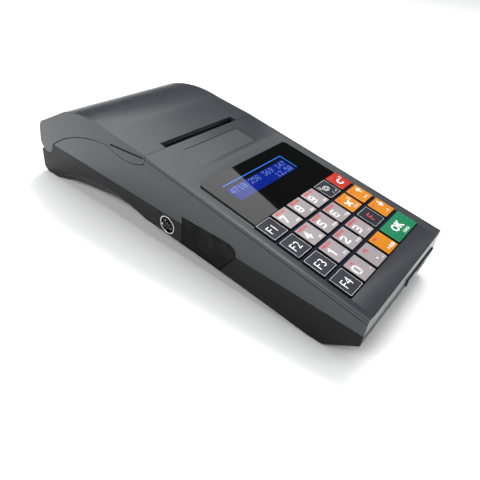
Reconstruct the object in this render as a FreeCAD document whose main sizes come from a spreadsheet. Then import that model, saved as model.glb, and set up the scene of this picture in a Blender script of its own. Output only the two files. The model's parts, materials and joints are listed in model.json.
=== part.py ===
import FreeCAD, Part
import math
import os
import Sketcher
from FreeCAD import Placement, Rotation, Vector

# A portable cash register: keypad and display on a sloping deck, receipt printer under a hinged lid behind.
# Millimetres. X runs to the right, Y to the back, Z up. The origin is on the table, under the case's middle.
# The deck frame starts at the deck's front edge and tilts with the deck: x to the right, y up the slope, and
# z out of the deck, with the key tops and the display's face at z = 0.

document = FreeCAD.newDocument("cash_register")
sheet = document.addObject("Spreadsheet::Sheet", "Dims")
nodes = []


class Size:
    """A length or an angle: its number, and the sheet formula that gives the number."""

    def __init__(self, number, formula=None):
        self.number = float(number)
        self.formula = formula or f"({self.number})"

    def __add__(self, other):
        other = sized(other)
        return Size(self.number + other.number, f"({self.formula} + {other.formula})")

    def __sub__(self, other):
        other = sized(other)
        return Size(self.number - other.number, f"({self.formula} - {other.formula})")

    def __mul__(self, other):
        other = sized(other)
        return Size(self.number * other.number, f"({self.formula} * {other.formula})")

    def __truediv__(self, other):
        other = sized(other)
        return Size(self.number / other.number, f"({self.formula} / {other.formula})")

    def __neg__(self):
        return Size(-self.number, f"(-{self.formula})")

    def __radd__(self, other):
        return sized(other) + self

    def __rsub__(self, other):
        return sized(other) - self

    def __rmul__(self, other):
        return sized(other) * self

    def __rtruediv__(self, other):
        return sized(other) / self


def sized(value):
    return value if isinstance(value, Size) else Size(value)


def cosine(angle):
    return Size(math.cos(math.radians(angle.number)), f"cos({angle.formula})")


def sine(angle):
    return Size(math.sin(math.radians(angle.number)), f"sin({angle.formula})")


def driving(name, number, meaning):
    """Writes one driving dimension on the sheet and returns it."""
    driving.row += 1
    sheet.set(f"A{driving.row}", meaning)
    sheet.set(f"B{driving.row}", str(number))
    sheet.setAlias(f"B{driving.row}", name)
    return Size(number, f"Dims.{name}")


driving.row = 0

# ---------------------------------------------------------------- driving dimensions: case
case_width = driving("case_width", 88, "case, left to right")
case_length = driving("case_length", 241, "case, front to back, with the front cover")
case_wall = driving("case_wall", 2.2, "side, front, rear and bottom walls")
seam_gap = driving("seam_gap", 0.3, "gap between shells")
seam_front_height = driving("seam_front_height", 18.7, "seam between lower and upper case, at the front")
seam_rear_height = driving("seam_rear_height", 25.1, "the same seam where the lid's tail begins")
chin_height = driving("chin_height", 12.7, "bottom edge of the front wall")
chin_depth = driving("chin_depth", 16, "front wall to the front feet's flat, along Y")
sole_height = driving("sole_height", 0.8, "bottom of the case at the feet")
front_sole_length = driving("front_sole_length", 8, "flat that carries the front feet")
arch_height = driving("arch_height", 10.5, "highest point of the arched underside")
arch_length = driving("arch_length", 107, "front flat to the top of the arch")
arch_bow = driving("arch_bow", 0.65, "rise of the arch above its straight chord")
belly_height = driving("belly_height", 3.8, "flat underside below the battery")
belly_length = driving("belly_length", 27, "length of that flat")
belly_setback = driving("belly_setback", 27, "case's rear to the flat's rear end")
wave_length = driving("wave_length", 28, "arch top's rear end to the flat under the battery")
rear_sole_length = driving("rear_sole_length", 12.5, "flat that carries the rear feet")
rear_corner = driving("rear_corner", 6.5, "length of the rounded bottom corner")
rear_corner_height = driving("rear_corner_height", 3.4, "height of the rounded bottom corner")
rear_wall_lean = driving("rear_wall_lean", 1.4, "how far the rear wall leans in at its top")
grip_radius = driving("grip_radius", 106.7, "radius of the finger scoops' upper edge")
grip_height = driving("grip_height", 16.5, "top of the finger scoops on the side walls")
grip_setback = driving("grip_setback", 70, "case's rear to the scoops' highest point")
grip_depth = driving("grip_depth", 8, "how far the scoops reach inwards")
grip_fall = driving("grip_fall", 12.5, "how far the scoops' edge falls over that reach")
grip_wall = driving("grip_wall", 8.4, "side walls behind the scoops")

# ---------------------------------------------------------------- driving dimensions: deck
deck_front_height = driving("deck_front_height", 28.2, "deck's front edge above the table")
deck_slope = driving("deck_slope", 9.93, "slope of the deck in degrees")
deck_length = driving("deck_length", 134.5, "front edge to the lid, along the slope")
deck_wall = driving("deck_wall", 2.6, "thickness of the deck")
recess_half_width = driving("recess_half_width", 41.7, "half the width between the side rails")
recess_length = driving("recess_length", 104.8, "front edge to the recess's rear edge")
recess_depth = driving("recess_depth", 1.0, "rails stand this far above the recess")
key_pitch_across = driving("key_pitch_across", 13.0, "key to key, left to right")
key_pitch_along = driving("key_pitch_along", 13.83, "key row to key row")
key_width = driving("key_width", 11.2, "width of a key")
key_depth = driving("key_depth", 11.85, "depth of a key, front to back")
keys_rear = driving("keys_rear", 65.0, "front edge to the rear row's rear edge")
key_travel = driving("key_travel", 1.2, "stroke of a key")
key_clearance = driving("key_clearance", 0.3, "gap round and under a moving key")
key_flange = driving("key_flange", 0.5, "flange under a key, beyond its sides")
key_flange_thickness = driving("key_flange_thickness", 0.8, "thickness of that flange")
key_stem_radius = driving("key_stem_radius", 2.0, "stem under a key")
key_stem_length = driving("key_stem_length", 1.2, "length of the stem")
mat_drop = driving("mat_drop", 1.3, "key tops down to the mat")
mat_thickness = driving("mat_thickness", 2.9, "key mat")
mat_ledge = driving("mat_ledge", 1.9, "the mat reaches this far under the deck")
mat_skirt = driving("mat_skirt", 1.2, "wall round the mat that stands on the key board")
mat_margin = driving("mat_margin", 0.4, "mat beyond the outer keys")
dome_radius = driving("dome_radius", 3.0, "snap dome")
dome_thickness = driving("dome_thickness", 0.3, "snap dome")
board_thickness = driving("board_thickness", 1.6, "circuit boards")
window_half_width = driving("window_half_width", 37.35, "half the width of the display window")
window_length = driving("window_length", 37.1, "display window along the slope")
window_thickness = driving("window_thickness", 1.2, "display window")
window_corner = driving("window_corner", 2.5, "rounding of its rear corners")
view_left = driving("view_left", 30.5, "middle of the deck to the display view's left edge")
view_right = driving("view_right", 22.0, "middle of the deck to its right edge")
view_front = driving("view_front", 11.5, "rear key row to the view's front edge")
view_length = driving("view_length", 18.0, "display view along the slope")
gasket_width = driving("gasket_width", 1.0, "border under the window, round the view")
gasket_thickness = driving("gasket_thickness", 0.2, "that border")
panel_depth = driving("panel_depth", 2.0, "display panel below the deck")
panel_board_margin = driving("panel_board_margin", 4.5, "display's board beyond the view")
plate_half_width = driving("plate_half_width", 22.2, "half the width of the bare name plate")
plate_front = driving("plate_front", 113.2, "front edge of the deck to the name plate")
plate_length = driving("plate_length", 14.7, "name plate along the slope")
plate_thickness = driving("plate_thickness", 0.7, "name plate")
plate_sink = driving("plate_sink", 0.2, "name plate below the deck")

# ---------------------------------------------------------------- driving dimensions: lid and hinge
lid_wall = driving("lid_wall", 2.2, "lid")
lid_ramp_length = driving("lid_ramp_length", 27.5, "straight run of the lid's top behind its front edge")
lid_ramp_height = driving("lid_ramp_height", 54.75, "height at the end of that run")
lid_crest_bow = driving("lid_crest_bow", 2.9, "crown between that run and the lid's shoulder")
lid_shoulder_setback = driving("lid_shoulder_setback", 36, "case's rear to the lid's shoulder")
lid_shoulder_height = driving("lid_shoulder_height", 52.6, "height of the shoulder")
lid_rear_setback = driving("lid_rear_setback", 7.5, "case's rear to the start of the lid's rear corner")
lid_rear_height = driving("lid_rear_height", 38.3, "height there")
lid_corner_drop = driving("lid_corner_drop", 5.1, "height of the rounded rear corner")
lid_corner_reach = driving("lid_corner_reach", 3.5, "length of the rounded rear corner")
hinge_setback = driving("hinge_setback", 8.3, "case's rear to the hinge pin")
hinge_height = driving("hinge_height", 23.5, "hinge pin above the table")
tail_radius = driving("tail_radius", 6.6, "round tail of the lid about the hinge pin")
tail_end_angle = driving("tail_end_angle", 200, "where the tail's round ends, in degrees from the rear")
hinge_pin_radius = driving("hinge_pin_radius", 1.5, "hinge pin")
hinge_running_gap = driving("hinge_running_gap", 0.05, "gap between the pin and the lid's bores")
knuckle_inner = driving("knuckle_inner", 34.3, "middle of the case to the lid's knuckles")
hinge_boss_inner = driving("hinge_boss_inner", 26.3, "middle of the case to the hinge bosses")
hinge_boss_outer = driving("hinge_boss_outer", 33.7, "middle of the case to the bosses' outer faces")
hinge_boss_radius = driving("hinge_boss_radius", 6.0, "hinge bosses")
skirt_bow = driving("skirt_bow", 5.05, "rise of the lid's side seam above its chord")
skirt_tail_reach = driving("skirt_tail_reach", 8.0, "hinge pin to the tail end of the side seam")
tab_length = driving("tab_length", 30.7, "lid's front edge to the rear end of its thumb tab")
tab_height = driving("tab_height", 46.0, "side seam's height at the thumb tab")
tab_drop = driving("tab_drop", 3.6, "thumb tab below the side seam")
groove_depth = driving("groove_depth", 0.7, "nail groove above the thumb tab")
groove_width = driving("groove_width", 1.1, "nail groove")
slot_half_width = driving("slot_half_width", 29.4, "half the width of the paper slot")
slot_depth = driving("slot_depth", 4.95, "paper slot, front to back")

# ---------------------------------------------------------------- driving dimensions: printer
platen_setback = driving("platen_setback", 8.35, "lid's front edge to the platen")
platen_height = driving("platen_height", 42.8, "platen above the table")
platen_radius = driving("platen_radius", 5.0, "rubber platen")
platen_half_length = driving("platen_half_length", 29.0, "half the platen's length")
shaft_radius = driving("shaft_radius", 1.5, "platen shaft")
running_gap = driving("running_gap", 0.05, "gap between a shaft and its bore")
ear_inner = driving("ear_inner", 30.2, "middle to the ears that carry the platen")
ear_thickness = driving("ear_thickness", 1.5, "those ears")
ear_half_length = driving("ear_half_length", 3.6, "half an ear, front to back")
frame_inner = driving("frame_inner", 32.3, "middle to the printer frame's side plates")
frame_plate = driving("frame_plate", 1.5, "printer frame's plates")
frame_front_reach = driving("frame_front_reach", 7.2, "lid's front edge to the frame's front wall")
frame_rear_reach = driving("frame_rear_reach", 23.4, "lid's front edge to the frame's rear end")
frame_top = driving("frame_top", 46.0, "top of the frame's side plates")
gear_inner = driving("gear_inner", 34.5, "middle to the gears")
gear_width = driving("gear_width", 2.6, "gears")
gear_module = driving("gear_module", 0.5, "gear module")
platen_teeth = driving("platen_teeth", 24, "teeth of the platen's gear")
idler_teeth = driving("idler_teeth", 30, "teeth of the idler")
pinion_teeth = driving("pinion_teeth", 12, "teeth of the motor's pinion")
train_angle = driving("train_angle", 75, "slope of the gear train in degrees")
motor_radius = driving("motor_radius", 6.5, "motor")
motor_length = driving("motor_length", 17, "motor")
motor_shaft_radius = driving("motor_shaft_radius", 1.0, "motor shaft")
stud_radius = driving("stud_radius", 1.2, "stud that carries the idler")
pin_end_gap = driving("pin_end_gap", 0.3, "ends of the hinge pin to the lid's side walls")
head_thickness = driving("head_thickness", 2.6, "print head")
head_height = driving("head_height", 14, "print head")
head_gap = driving("head_gap", 0.4, "print head to platen")
spring_radius = driving("spring_radius", 2.0, "print head spring")
spring_wire = driving("spring_wire", 0.35, "radius of the spring's wire")
spring_spread = driving("spring_spread", 36, "spring to spring")
tear_thickness = driving("tear_thickness", 0.7, "tear bar")
tear_height = driving("tear_height", 4.0, "tear bar")
tear_pitch = driving("tear_pitch", 2.0, "tear bar's teeth")
roll_setback = driving("roll_setback", 49.4, "lid's front edge to the paper roll")
roll_height = driving("roll_height", 33.5, "paper roll's middle above the table")
roll_radius = driving("roll_radius", 18.4, "full paper roll")
roll_half_width = driving("roll_half_width", 28.6, "half the paper's width")
core_radius = driving("core_radius", 6.5, "outside of the roll's tube")
core_wall = driving("core_wall", 0.8, "roll's tube")
tray_gap = driving("tray_gap", 0.8, "paper roll to its tray")
tray_wall = driving("tray_wall", 1.2, "paper tray")
tray_leg_spread = driving("tray_leg_spread", 42, "leg to leg under the tray")
tray_leg_width = driving("tray_leg_width", 2, "one leg, left to right")
tray_leg_front = driving("tray_leg_front", 4, "roll's middle to the legs' front")
tray_leg_length = driving("tray_leg_length", 7, "one leg, front to back")

# ---------------------------------------------------------------- driving dimensions: fittings
screw_inset = driving("screw_inset", 5.8, "case side to a case screw")
screw_front = driving("screw_front", 6.7, "front wall to the front screws")
screw_rear = driving("screw_rear", 3.8, "rear screws ahead of the lid's front edge")
screw_radius = driving("screw_radius", 1.35, "case screw")
screw_head_radius = driving("screw_head_radius", 2.7, "case screw's head")
screw_head_height = driving("screw_head_height", 1.6, "case screw's head")
screw_length = driving("screw_length", 14, "case screw under its head")
screw_slot_length = driving("screw_slot_length", 3.2, "cross slot in a screw's head")
screw_slot_width = driving("screw_slot_width", 0.7, "that slot")
screw_slot_depth = driving("screw_slot_depth", 0.8, "that slot")
boss_radius = driving("boss_radius", 4.2, "screw bosses in the lower case")
column_radius = driving("column_radius", 3.2, "screw columns in the upper case")
foot_radius = driving("foot_radius", 4.0, "rubber foot")
foot_thickness = driving("foot_thickness", 1.6, "rubber foot")
foot_spread = driving("foot_spread", 66, "foot to foot across the case")
cover_proud = driving("cover_proud", 0.8, "front cover beyond the front wall")
cover_left = driving("cover_left", 5.0, "middle of the case to the front cover's left end")
cover_right = driving("cover_right", 41.0, "middle of the case to its right end")
cover_bottom = driving("cover_bottom", 13.9, "front cover's bottom edge")
cover_plug_inset = driving("cover_plug_inset", 8.3, "front cover's ends to its plug")
cover_grip_inset = driving("cover_grip_inset", 12, "front cover's ends to its grip lines")
cover_grip_radius = driving("cover_grip_radius", 0.35, "grip lines")
cover_grip_pitch = driving("cover_grip_pitch", 0.9, "grip line to grip line")
socket_setback = driving("socket_setback", 117.5, "front wall to the power socket")
socket_height = driving("socket_height", 15.6, "power socket above the table")
socket_radius = driving("socket_radius", 5.5, "power socket's metal ring")
socket_ring = driving("socket_ring", 0.7, "wall of that ring")
socket_depth = driving("socket_depth", 11.0, "length of the ring")
socket_boss = driving("socket_boss", 0.6, "plastic round the ring")
socket_end = driving("socket_end", 2.5, "plastic beyond the ring's inner end")
contact_radius = driving("contact_radius", 0.5, "socket's contact pins")
contact_circle = driving("contact_circle", 3.2, "radius of the circle of contacts")
contact_proud = driving("contact_proud", 2.2, "contact pins beyond the insulator")
insulator_length = driving("insulator_length", 4, "insulator at the socket's bottom")
socket_key_radius = driving("socket_key_radius", 1.2, "round hole in the insulator's middle")
flap_front = driving("flap_front", 69.6, "front wall to the port cover's front tip")
flap_length = driving("flap_length", 36.2, "port cover")
flap_top = driving("flap_top", 26.5, "port cover's top edge")
flap_thickness = driving("flap_thickness", 1.9, "port cover")
flap_corner = driving("flap_corner", 5.0, "port cover's rounded top corner")
flap_bevel = driving("flap_bevel", 9.5, "length of its slanted front edge")
flap_bottom_front = driving("flap_bottom_front", 7.0, "bottom edge, front end")
flap_bottom_rear = driving("flap_bottom_rear", 9.7, "bottom edge, rear end")
port_wall = driving("port_wall", 1.5, "wall behind the port cover")
port_inset = driving("port_inset", 1.0, "inside of the left wall to the ports")
port_width = driving("port_width", 12.5, "each port, front to back")
usb_place = driving("usb_place", 4.9, "port cover's front tip to the USB port")
usb_reach = driving("usb_reach", 28, "middle of the case to the USB port's inner end")
usb_height = driving("usb_height", 5.2, "USB port")
usb_wall = driving("usb_wall", 0.6, "USB port's shell")
drawer_place = driving("drawer_place", 19.9, "port cover's front tip to the drawer port")
drawer_reach = driving("drawer_reach", 27, "middle of the case to the drawer port's inner end")
drawer_height = driving("drawer_height", 9.0, "drawer port")
drawer_wall = driving("drawer_wall", 1.3, "drawer port's shell")
main_board_height = driving("main_board_height", 13.0, "underside of the main board")
main_board_half_width = driving("main_board_half_width", 35.5, "half the main board's width")
main_board_front = driving("main_board_front", 11.5, "front wall to the main board")
main_board_length = driving("main_board_length", 96, "main board")
board_post_spread = driving("board_post_spread", 60, "main board's posts, across the case")
board_post_radius = driving("board_post_radius", 2.2, "main board's posts")
board_post_inset = driving("board_post_inset", 8, "main board's ends to its posts")
memory_left = driving("memory_left", 24, "middle of the case to the sales memory's left side")
memory_width = driving("memory_width", 26, "sales memory")
memory_place = driving("memory_place", 46, "main board's front edge to the sales memory")
memory_length = driving("memory_length", 24, "sales memory")
memory_height = driving("memory_height", 9, "sales memory")
cell_radius = driving("cell_radius", 7.2, "battery cell")
battery_half_width = driving("battery_half_width", 25.5, "half the battery's width")
battery_setback = driving("battery_setback", 28.3, "case's rear to the battery's middle")
battery_bottom = driving("battery_bottom", 8.2, "underside of the battery")
hatch_half_width = driving("hatch_half_width", 29.0, "half the battery hatch's width")
hatch_length = driving("hatch_length", 23.0, "battery hatch")
hatch_thickness = driving("hatch_thickness", 2.0, "battery hatch")
hatch_gap = driving("hatch_gap", 0.2, "gap round the hatch")
hatch_ledge = driving("hatch_ledge", 2.0, "ledge that the hatch rests on")
hatch_ridge_width = driving("hatch_ridge_width", 12, "grip grooves under the hatch")
hatch_ridge_pitch = driving("hatch_ridge_pitch", 2, "groove to groove")
hatch_ridge_place = driving("hatch_ridge_place", 6, "hatch's room to the first groove")
hatch_ridge_depth = driving("hatch_ridge_depth", 0.5, "grip grooves")

# ---------------------------------------------------------------- places that follow from them
half_width = case_width / 2
front = cover_proud - case_length / 2
rear = case_length / 2
inner_half_width = half_width - case_wall
key_board_top = -(mat_drop + mat_thickness + 2 * key_clearance + key_flange_thickness + key_stem_length
                  + key_travel + dome_thickness)
keys_front = keys_rear - 3 * key_pitch_along - key_depth
keys_half_width = (5 * key_pitch_across + key_width) / 2


def deck_point(along, out):
    """The (Y, Z) of a point of the deck frame."""
    return (front + along * cosine(deck_slope) - out * sine(deck_slope),
            deck_front_height + along * sine(deck_slope) + out * cosine(deck_slope))


lid_front, lid_front_height = deck_point(deck_length, Size(0))
hinge = rear - hinge_setback
seam_rear = hinge - skirt_tail_reach
tab_rear = lid_front + tab_length
platen = lid_front + platen_setback
roll = lid_front + roll_setback
idler_distance = gear_module * (platen_teeth + idler_teeth) / 2
pinion_distance = idler_distance + gear_module * (idler_teeth + pinion_teeth) / 2
idler = (platen + idler_distance * cosine(train_angle), platen_height - idler_distance * sine(train_angle))
pinion = (platen + pinion_distance * cosine(train_angle), platen_height - pinion_distance * sine(train_angle))
screw_places = [(side * (half_width - screw_inset), y) for side in (-1, 1)
                for y in (front + screw_front, lid_front - screw_rear)]
battery = rear - battery_setback
hatch_front = rear - belly_setback - belly_length + 2
ledge_top = belly_height + hatch_thickness + 1.5
lower_rear_height = hinge_height - tail_radius + 0.3
arch_front = (front + chin_depth + front_sole_length, sole_height)
arch_top = (arch_front[0] + arch_length, arch_height)
belly_front = (rear - belly_setback - belly_length, belly_height)
wave_top = (belly_front[0] - wave_length, arch_height - 0.6)
wave_middle = (wave_top[0] + wave_length * 0.7, (arch_height + belly_height) / 2 - 1.2)


# ---------------------------------------------------------------- building blocks
def bind(owner, path, value):
    """Ties a property to the sheet, where its value comes from the sheet."""
    if "Dims." in sized(value).formula:
        owner.setExpression(path, value.formula)


def place(piece, x=0, y=0, z=0, axis=Vector(0, 0, 1), angle=0):
    x, y, z, angle = (sized(value) for value in (x, y, z, angle))
    piece.Placement = Placement(Vector(x.number, y.number, z.number), Rotation(axis, angle.number))
    for path, value in (("Base.x", x), ("Base.y", y), ("Base.z", z), ("Rotation.Angle", angle)):
        bind(piece, "Placement." + path, value)
    return piece


def on_deck(piece):
    """Moves a piece that is drawn in the deck frame to the deck."""
    return place(grouped(piece), 0, front, deck_front_height, Vector(1, 0, 0), deck_slope)


def block(x_low, x_high, y_low, y_high, z_low, z_high):
    piece = document.addObject("Part::Box", "block")
    for side, low, high in (("Length", x_low, x_high), ("Width", y_low, y_high), ("Height", z_low, z_high)):
        extent = sized(high) - low
        setattr(piece, side, extent.number)
        bind(piece, side, extent)
    return place(piece, x_low, y_low, z_low)


def rod(radius, x, y, low, high, axis="Z"):
    """A cylinder from low to high along an axis, about the point (x, y) in the other two."""
    piece = document.addObject("Part::Cylinder", "rod")
    extent = sized(high) - low
    piece.Radius = sized(radius).number
    piece.Height = extent.number
    bind(piece, "Radius", radius)
    bind(piece, "Height", extent)
    if axis == "X":
        return place(piece, low, x, y, Vector(0, 1, 0), 90)
    if axis == "Y":
        return place(piece, x, low, y, Vector(1, 0, 0), -90)
    return place(piece, x, y, low)


def fused(*pieces):
    if len(pieces) == 1:
        return pieces[0]
    whole = document.addObject("Part::MultiFuse", "fused")
    whole.Shapes = list(pieces)
    return whole


def grouped(*pieces):
    """Separate solids that share one node."""
    whole = document.addObject("Part::Compound", "group")
    whole.Links = list(pieces)
    return whole


def cut(base, *tools):
    result = document.addObject("Part::Cut", "cut")
    result.Base = base
    result.Tool = fused(*tools)
    return result


def common(base, tool):
    result = document.addObject("Part::Common", "common")
    result.Base = base
    result.Tool = tool
    return result


def node(name, piece):
    piece.Label = name
    nodes.append(piece)
    return piece


def arc_through(start, middle, end):
    """The counterclockwise arc through three points, and whether it runs from the end to the start."""
    circle = Part.Arc(start, middle, end).toShape().Curve
    centre = circle.Center
    turn = (end - start).cross(middle - start).z
    first, last = (start, end) if turn < 0 else (end, start)
    angles = [math.atan2(point.y - centre.y, point.x - centre.x) for point in (first, last)]
    if angles[1] < angles[0]:
        angles[1] += 2 * math.pi
    return Part.ArcOfCircle(Part.Circle(centre, Vector(0, 0, 1), circle.Radius), *angles), turn > 0


def pin_point(sketch, geometry, end, across, up):
    """Fixes one sketch point at sheet-driven coordinates."""
    for kind, value in (("DistanceX", across), ("DistanceY", up)):
        value = sized(value)
        index = sketch.addConstraint(Sketcher.Constraint(kind, -1, 1, geometry, end, value.number))
        bind(sketch, f"Constraints[{index}]", value)


def outline(body, plane, start, steps):
    """A closed sketch. A step is the next corner, or an arc's middle and its end."""
    sketch = body.newObject("Sketcher::SketchObject", "outline")
    origin_plane = [feature for feature in body.Origin.OriginFeatures if feature.Role == plane][0]
    sketch.AttachmentSupport = [(origin_plane, "")]
    sketch.MapMode = "FlatFace"
    here = start
    ends = []
    for step in steps:
        there = step[-1]
        points = [Vector(sized(p[0]).number, sized(p[1]).number, 0) for p in (here, *step)]
        if len(step) == 2:
            arc, backwards = arc_through(*points)
            index = sketch.addGeometry(arc, False)
            ends.append((index, 2, 1) if backwards else (index, 1, 2))
            middle = sketch.addGeometry(Part.Point(points[1]), True)
            pin_point(sketch, middle, 1, *step[0])
            sketch.addConstraint(Sketcher.Constraint("PointOnObject", middle, 1, index))
        else:
            index = sketch.addGeometry(Part.LineSegment(*points), False)
            ends.append((index, 1, 2))
        pin_point(sketch, index, ends[-1][1], *here)
        here = there
    for number, (index, _, last) in enumerate(ends):
        following, first, _ = ends[(number + 1) % len(ends)]
        sketch.addConstraint(Sketcher.Constraint("Coincident", index, last, following, first))
    return sketch


def new_body():
    return document.addObject("PartDesign::Body", "body")


def pad(body, sketch, length, both_ways=True, reverse=False):
    feature = body.newObject("PartDesign::Pad", "pad")
    feature.Profile = sketch
    feature.Length = sized(length).number
    feature.Midplane = both_ways
    feature.Reversed = reverse
    bind(feature, "Length", length)
    return feature


def pocket(body, sketch, length):
    """Cuts a sketch out of a body, half the length to each side of its plane."""
    document.recompute()
    before = body.Shape.Volume
    feature = body.newObject("PartDesign::Pocket", "pocket")
    feature.Profile = sketch
    feature.Length = sized(length).number
    feature.Midplane = True
    bind(feature, "Length", length)
    document.recompute()
    if body.Shape.Volume >= before:
        raise RuntimeError("a pocket cut nothing")
    return feature


def side_profile(width, start, steps):
    """A body whose outline lies in the side view, padded evenly to left and right."""
    body = new_body()
    pad(body, outline(body, "YZ_Plane", start, steps), width)
    return body


def bowed(start, end, bow):
    """The middle of an arc that stands a given height above its chord."""
    return ((start[0] + end[0]) / 2, (start[1] + end[1]) / 2 + bow)


# ---------------------------------------------------------------- shells
def seam_height(y):
    """Height of the seam between the two case halves at a given Y."""
    return seam_front_height + (seam_rear_height - seam_front_height) * (y - front) / (seam_rear - front)


def skirt_points(drop):
    """The seam under the lid's sides: tail end, rear end of the thumb tab, front end of the tab."""
    tail = (seam_rear, seam_rear_height - drop)
    tab_end = (tab_rear, tab_height - drop)
    tab_start = (lid_front + 1.6, tab_height - drop)
    return tail, tab_end, tab_start


def lower_outline():
    """The lower case's side view as a solid block: chin, arched underside, flat belly, heel and tail pocket."""
    top = seam_front_height - seam_gap / 2
    rear_top = (rear - rear_wall_lean, lower_rear_height)
    tail_side = (hinge + tail_radius * cosine(tail_end_angle) - seam_gap,
                 hinge_height + tail_radius * sine(tail_end_angle) - seam_gap / 2)
    tail_front = (seam_rear - seam_gap, seam_rear_height - seam_gap / 2)
    return side_profile(case_width, (front, top), [
        [(front, chin_height)], [(front + chin_depth, sole_height)], [arch_front],
        [bowed(arch_front, arch_top, arch_bow), arch_top],
        [wave_top], [bowed(wave_top, wave_middle, 1.0), wave_middle],
        [belly_front], [(rear - belly_setback, belly_height)],
        [(rear - rear_corner - rear_sole_length, sole_height)], [(rear - rear_corner, sole_height)],
        [(rear - rear_corner * 0.3, sole_height + rear_corner_height * 0.26),
         (rear, sole_height + rear_corner_height)],
        [rear_top], [(hinge, rear_top[1])], [tail_side], [tail_front], [(front, top)]])


def lower_rooms(body):
    """Hollows the lower case: a wide room as far as the wave, then a room that leaves the grips' walls."""
    w = case_wall
    ceiling = seam_rear_height + 9
    grip_start = wave_top[0] + 4
    raised = (arch_top[0], arch_top[1] + w)
    arch_start = (arch_front[0], sole_height + w)
    main_room = outline(body, "YZ_Plane", (front + w, ceiling), [
        [(front + w, chin_height + w / 2)], [(front + chin_depth + w / 3, sole_height + w)], [arch_start],
        [bowed(arch_start, raised, arch_bow), raised], [(grip_start, wave_top[1] + w)],
        [(grip_start, ceiling)], [(front + w, ceiling)]])
    pocket(body, main_room, inner_half_width * 2)
    wall_inside = rear - rear_wall_lean - w
    rear_room = outline(body, "YZ_Plane", (grip_start - 1, ceiling), [
        [(grip_start - 1, wave_top[1] + w + 1)], [(wave_middle[0], wave_middle[1] + w + 1)],
        [(belly_front[0] + w / 2, belly_height + w)], [(wall_inside - 2, belly_height + w)],
        [(wall_inside, belly_height + w + 2)], [(wall_inside, ceiling)], [(grip_start - 1, ceiling)]])
    pocket(body, rear_room, (half_width - grip_wall) * 2)
    # above the scoops the rear room is as wide as the main one
    wide_room = block(-inner_half_width, inner_half_width, grip_start - 1, wall_inside,
                      grip_height + 1, ceiling)
    return cut(body, wide_room, *scoops())


def lower_bosses():
    """What stands up inside the lower case: screw bosses, board posts, hinge bosses, ledge and port backing."""
    bosses = [rod(boss_radius, x, y, 0, seam_height(y) - seam_gap / 2) for x, y in screw_places]
    for x in (-board_post_spread / 2, board_post_spread / 2):
        for y in (front + main_board_front + board_post_inset,
                  front + main_board_front + main_board_length - board_post_inset):
            bosses.append(rod(board_post_radius, x, y, 0, main_board_height))
    for side in (-1, 1):
        middle = side * (hinge_boss_inner + hinge_boss_outer) / 2
        half = (hinge_boss_outer - hinge_boss_inner) / 2
        bosses.append(block(middle - half, middle + half, hinge - hinge_boss_radius,
                            hinge + hinge_boss_radius - 1, belly_height, hinge_height))
    bosses.append(block(-hatch_half_width - 4, hatch_half_width + 4, hatch_front - 1,
                        hatch_front + hatch_length + 1, belly_height, ledge_top))
    bosses.append(port_backing(arch_height - 5, seam_height(front + flap_front) - seam_gap / 2))
    return bosses


def hinge_boss_rounds():
    half = (hinge_boss_outer - hinge_boss_inner) / 2
    return [rod(hinge_boss_radius, hinge, hinge_height, side * (hinge_boss_inner + half) - half,
                side * (hinge_boss_inner + half) + half, "X") for side in (-1, 1)]


def lower_case():
    """The bottom shell: chin, arched underside, finger scoops, screw bosses and hinge bosses."""
    trimmed = common(fused(*lower_bosses()), cut(lower_outline(), *scoops()))
    socket_housing = rod(socket_radius + socket_boss, front + socket_setback, socket_height,
                         -half_width + 0.2, -half_width + socket_depth + socket_end, "X")
    shell = fused(lower_rooms(lower_outline()), trimmed, socket_housing, *hinge_boss_rounds())
    tail_room = tail_radius + seam_gap
    tools = [rod(tail_room, hinge, hinge_height, -half_width - 1, -hinge_boss_outer - seam_gap, "X"),
             rod(tail_room, hinge, hinge_height, hinge_boss_outer + seam_gap, half_width + 1, "X"),
             rod(tail_room, hinge, hinge_height, seam_gap - hinge_boss_inner, hinge_boss_inner - seam_gap, "X"),
             rod(hinge_pin_radius, hinge, hinge_height, -half_width, half_width, "X"),
             rod(socket_radius, front + socket_setback, socket_height, -half_width - 1,
                 -half_width + socket_depth, "X"),
             rod(contact_circle + contact_radius + 0.4, front + socket_setback, socket_height, -half_width,
                 -half_width + socket_depth + socket_end + 1, "X"),
             flap_body(seam_gap, flap_thickness + seam_gap, 2), port_window(),
             block(cover_left - hatch_gap, cover_right + hatch_gap, front - 1, front + case_wall * 0.6,
                   cover_bottom - hatch_gap, seam_front_height + 1),
             block(cover_left + cover_plug_inset - seam_gap, cover_right - cover_plug_inset + seam_gap,
                   front - 1, front + case_wall + 1, cover_bottom + 0.8, seam_front_height + 1),
             hatch_plate(hatch_gap, belly_height - 1, belly_height + hatch_thickness),
             hatch_plate(-hatch_ledge, belly_height - 1, ledge_top + 1)]
    for x, y in screw_places:
        tools.append(rod(screw_radius, x, y, -1, seam_rear_height + 5))
        tools.append(rod(screw_head_radius + 0.3, x, y, -1, screw_seat(y)))
    for x, y in foot_places():
        tools.append(rod(foot_radius, x, y, -1, foot_thickness))
    return node("lower_case", cut(shell, *tools))


def scoops():
    """Slanting cylinders that hollow both sides of the belly for the fingers."""
    cutters = []
    for side in (-1, 1):
        ring = document.addObject("Part::Circle", "scoop_edge")
        ring.Radius = grip_radius.number
        bind(ring, "Radius", grip_radius)
        start = side * (half_width + 0.5 * grip_depth)
        lift = 0.5 * grip_fall
        place(ring, start, rear - grip_setback, grip_height - grip_radius + lift, Vector(0, 1, 0), 90)
        scoop = document.addObject("Part::Extrusion", "scoop")
        scoop.Base = ring
        scoop.DirMode = "Custom"
        scoop.Dir = Vector(-side * grip_depth.number, 0, -grip_fall.number)
        bind(scoop, "Dir.x", -side * grip_depth)
        bind(scoop, "Dir.z", -grip_fall)
        scoop.LengthFwd = 1.5 * math.hypot(grip_depth.number, grip_fall.number)
        scoop.Solid = True
        cutters.append(scoop)
    return cutters


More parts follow.
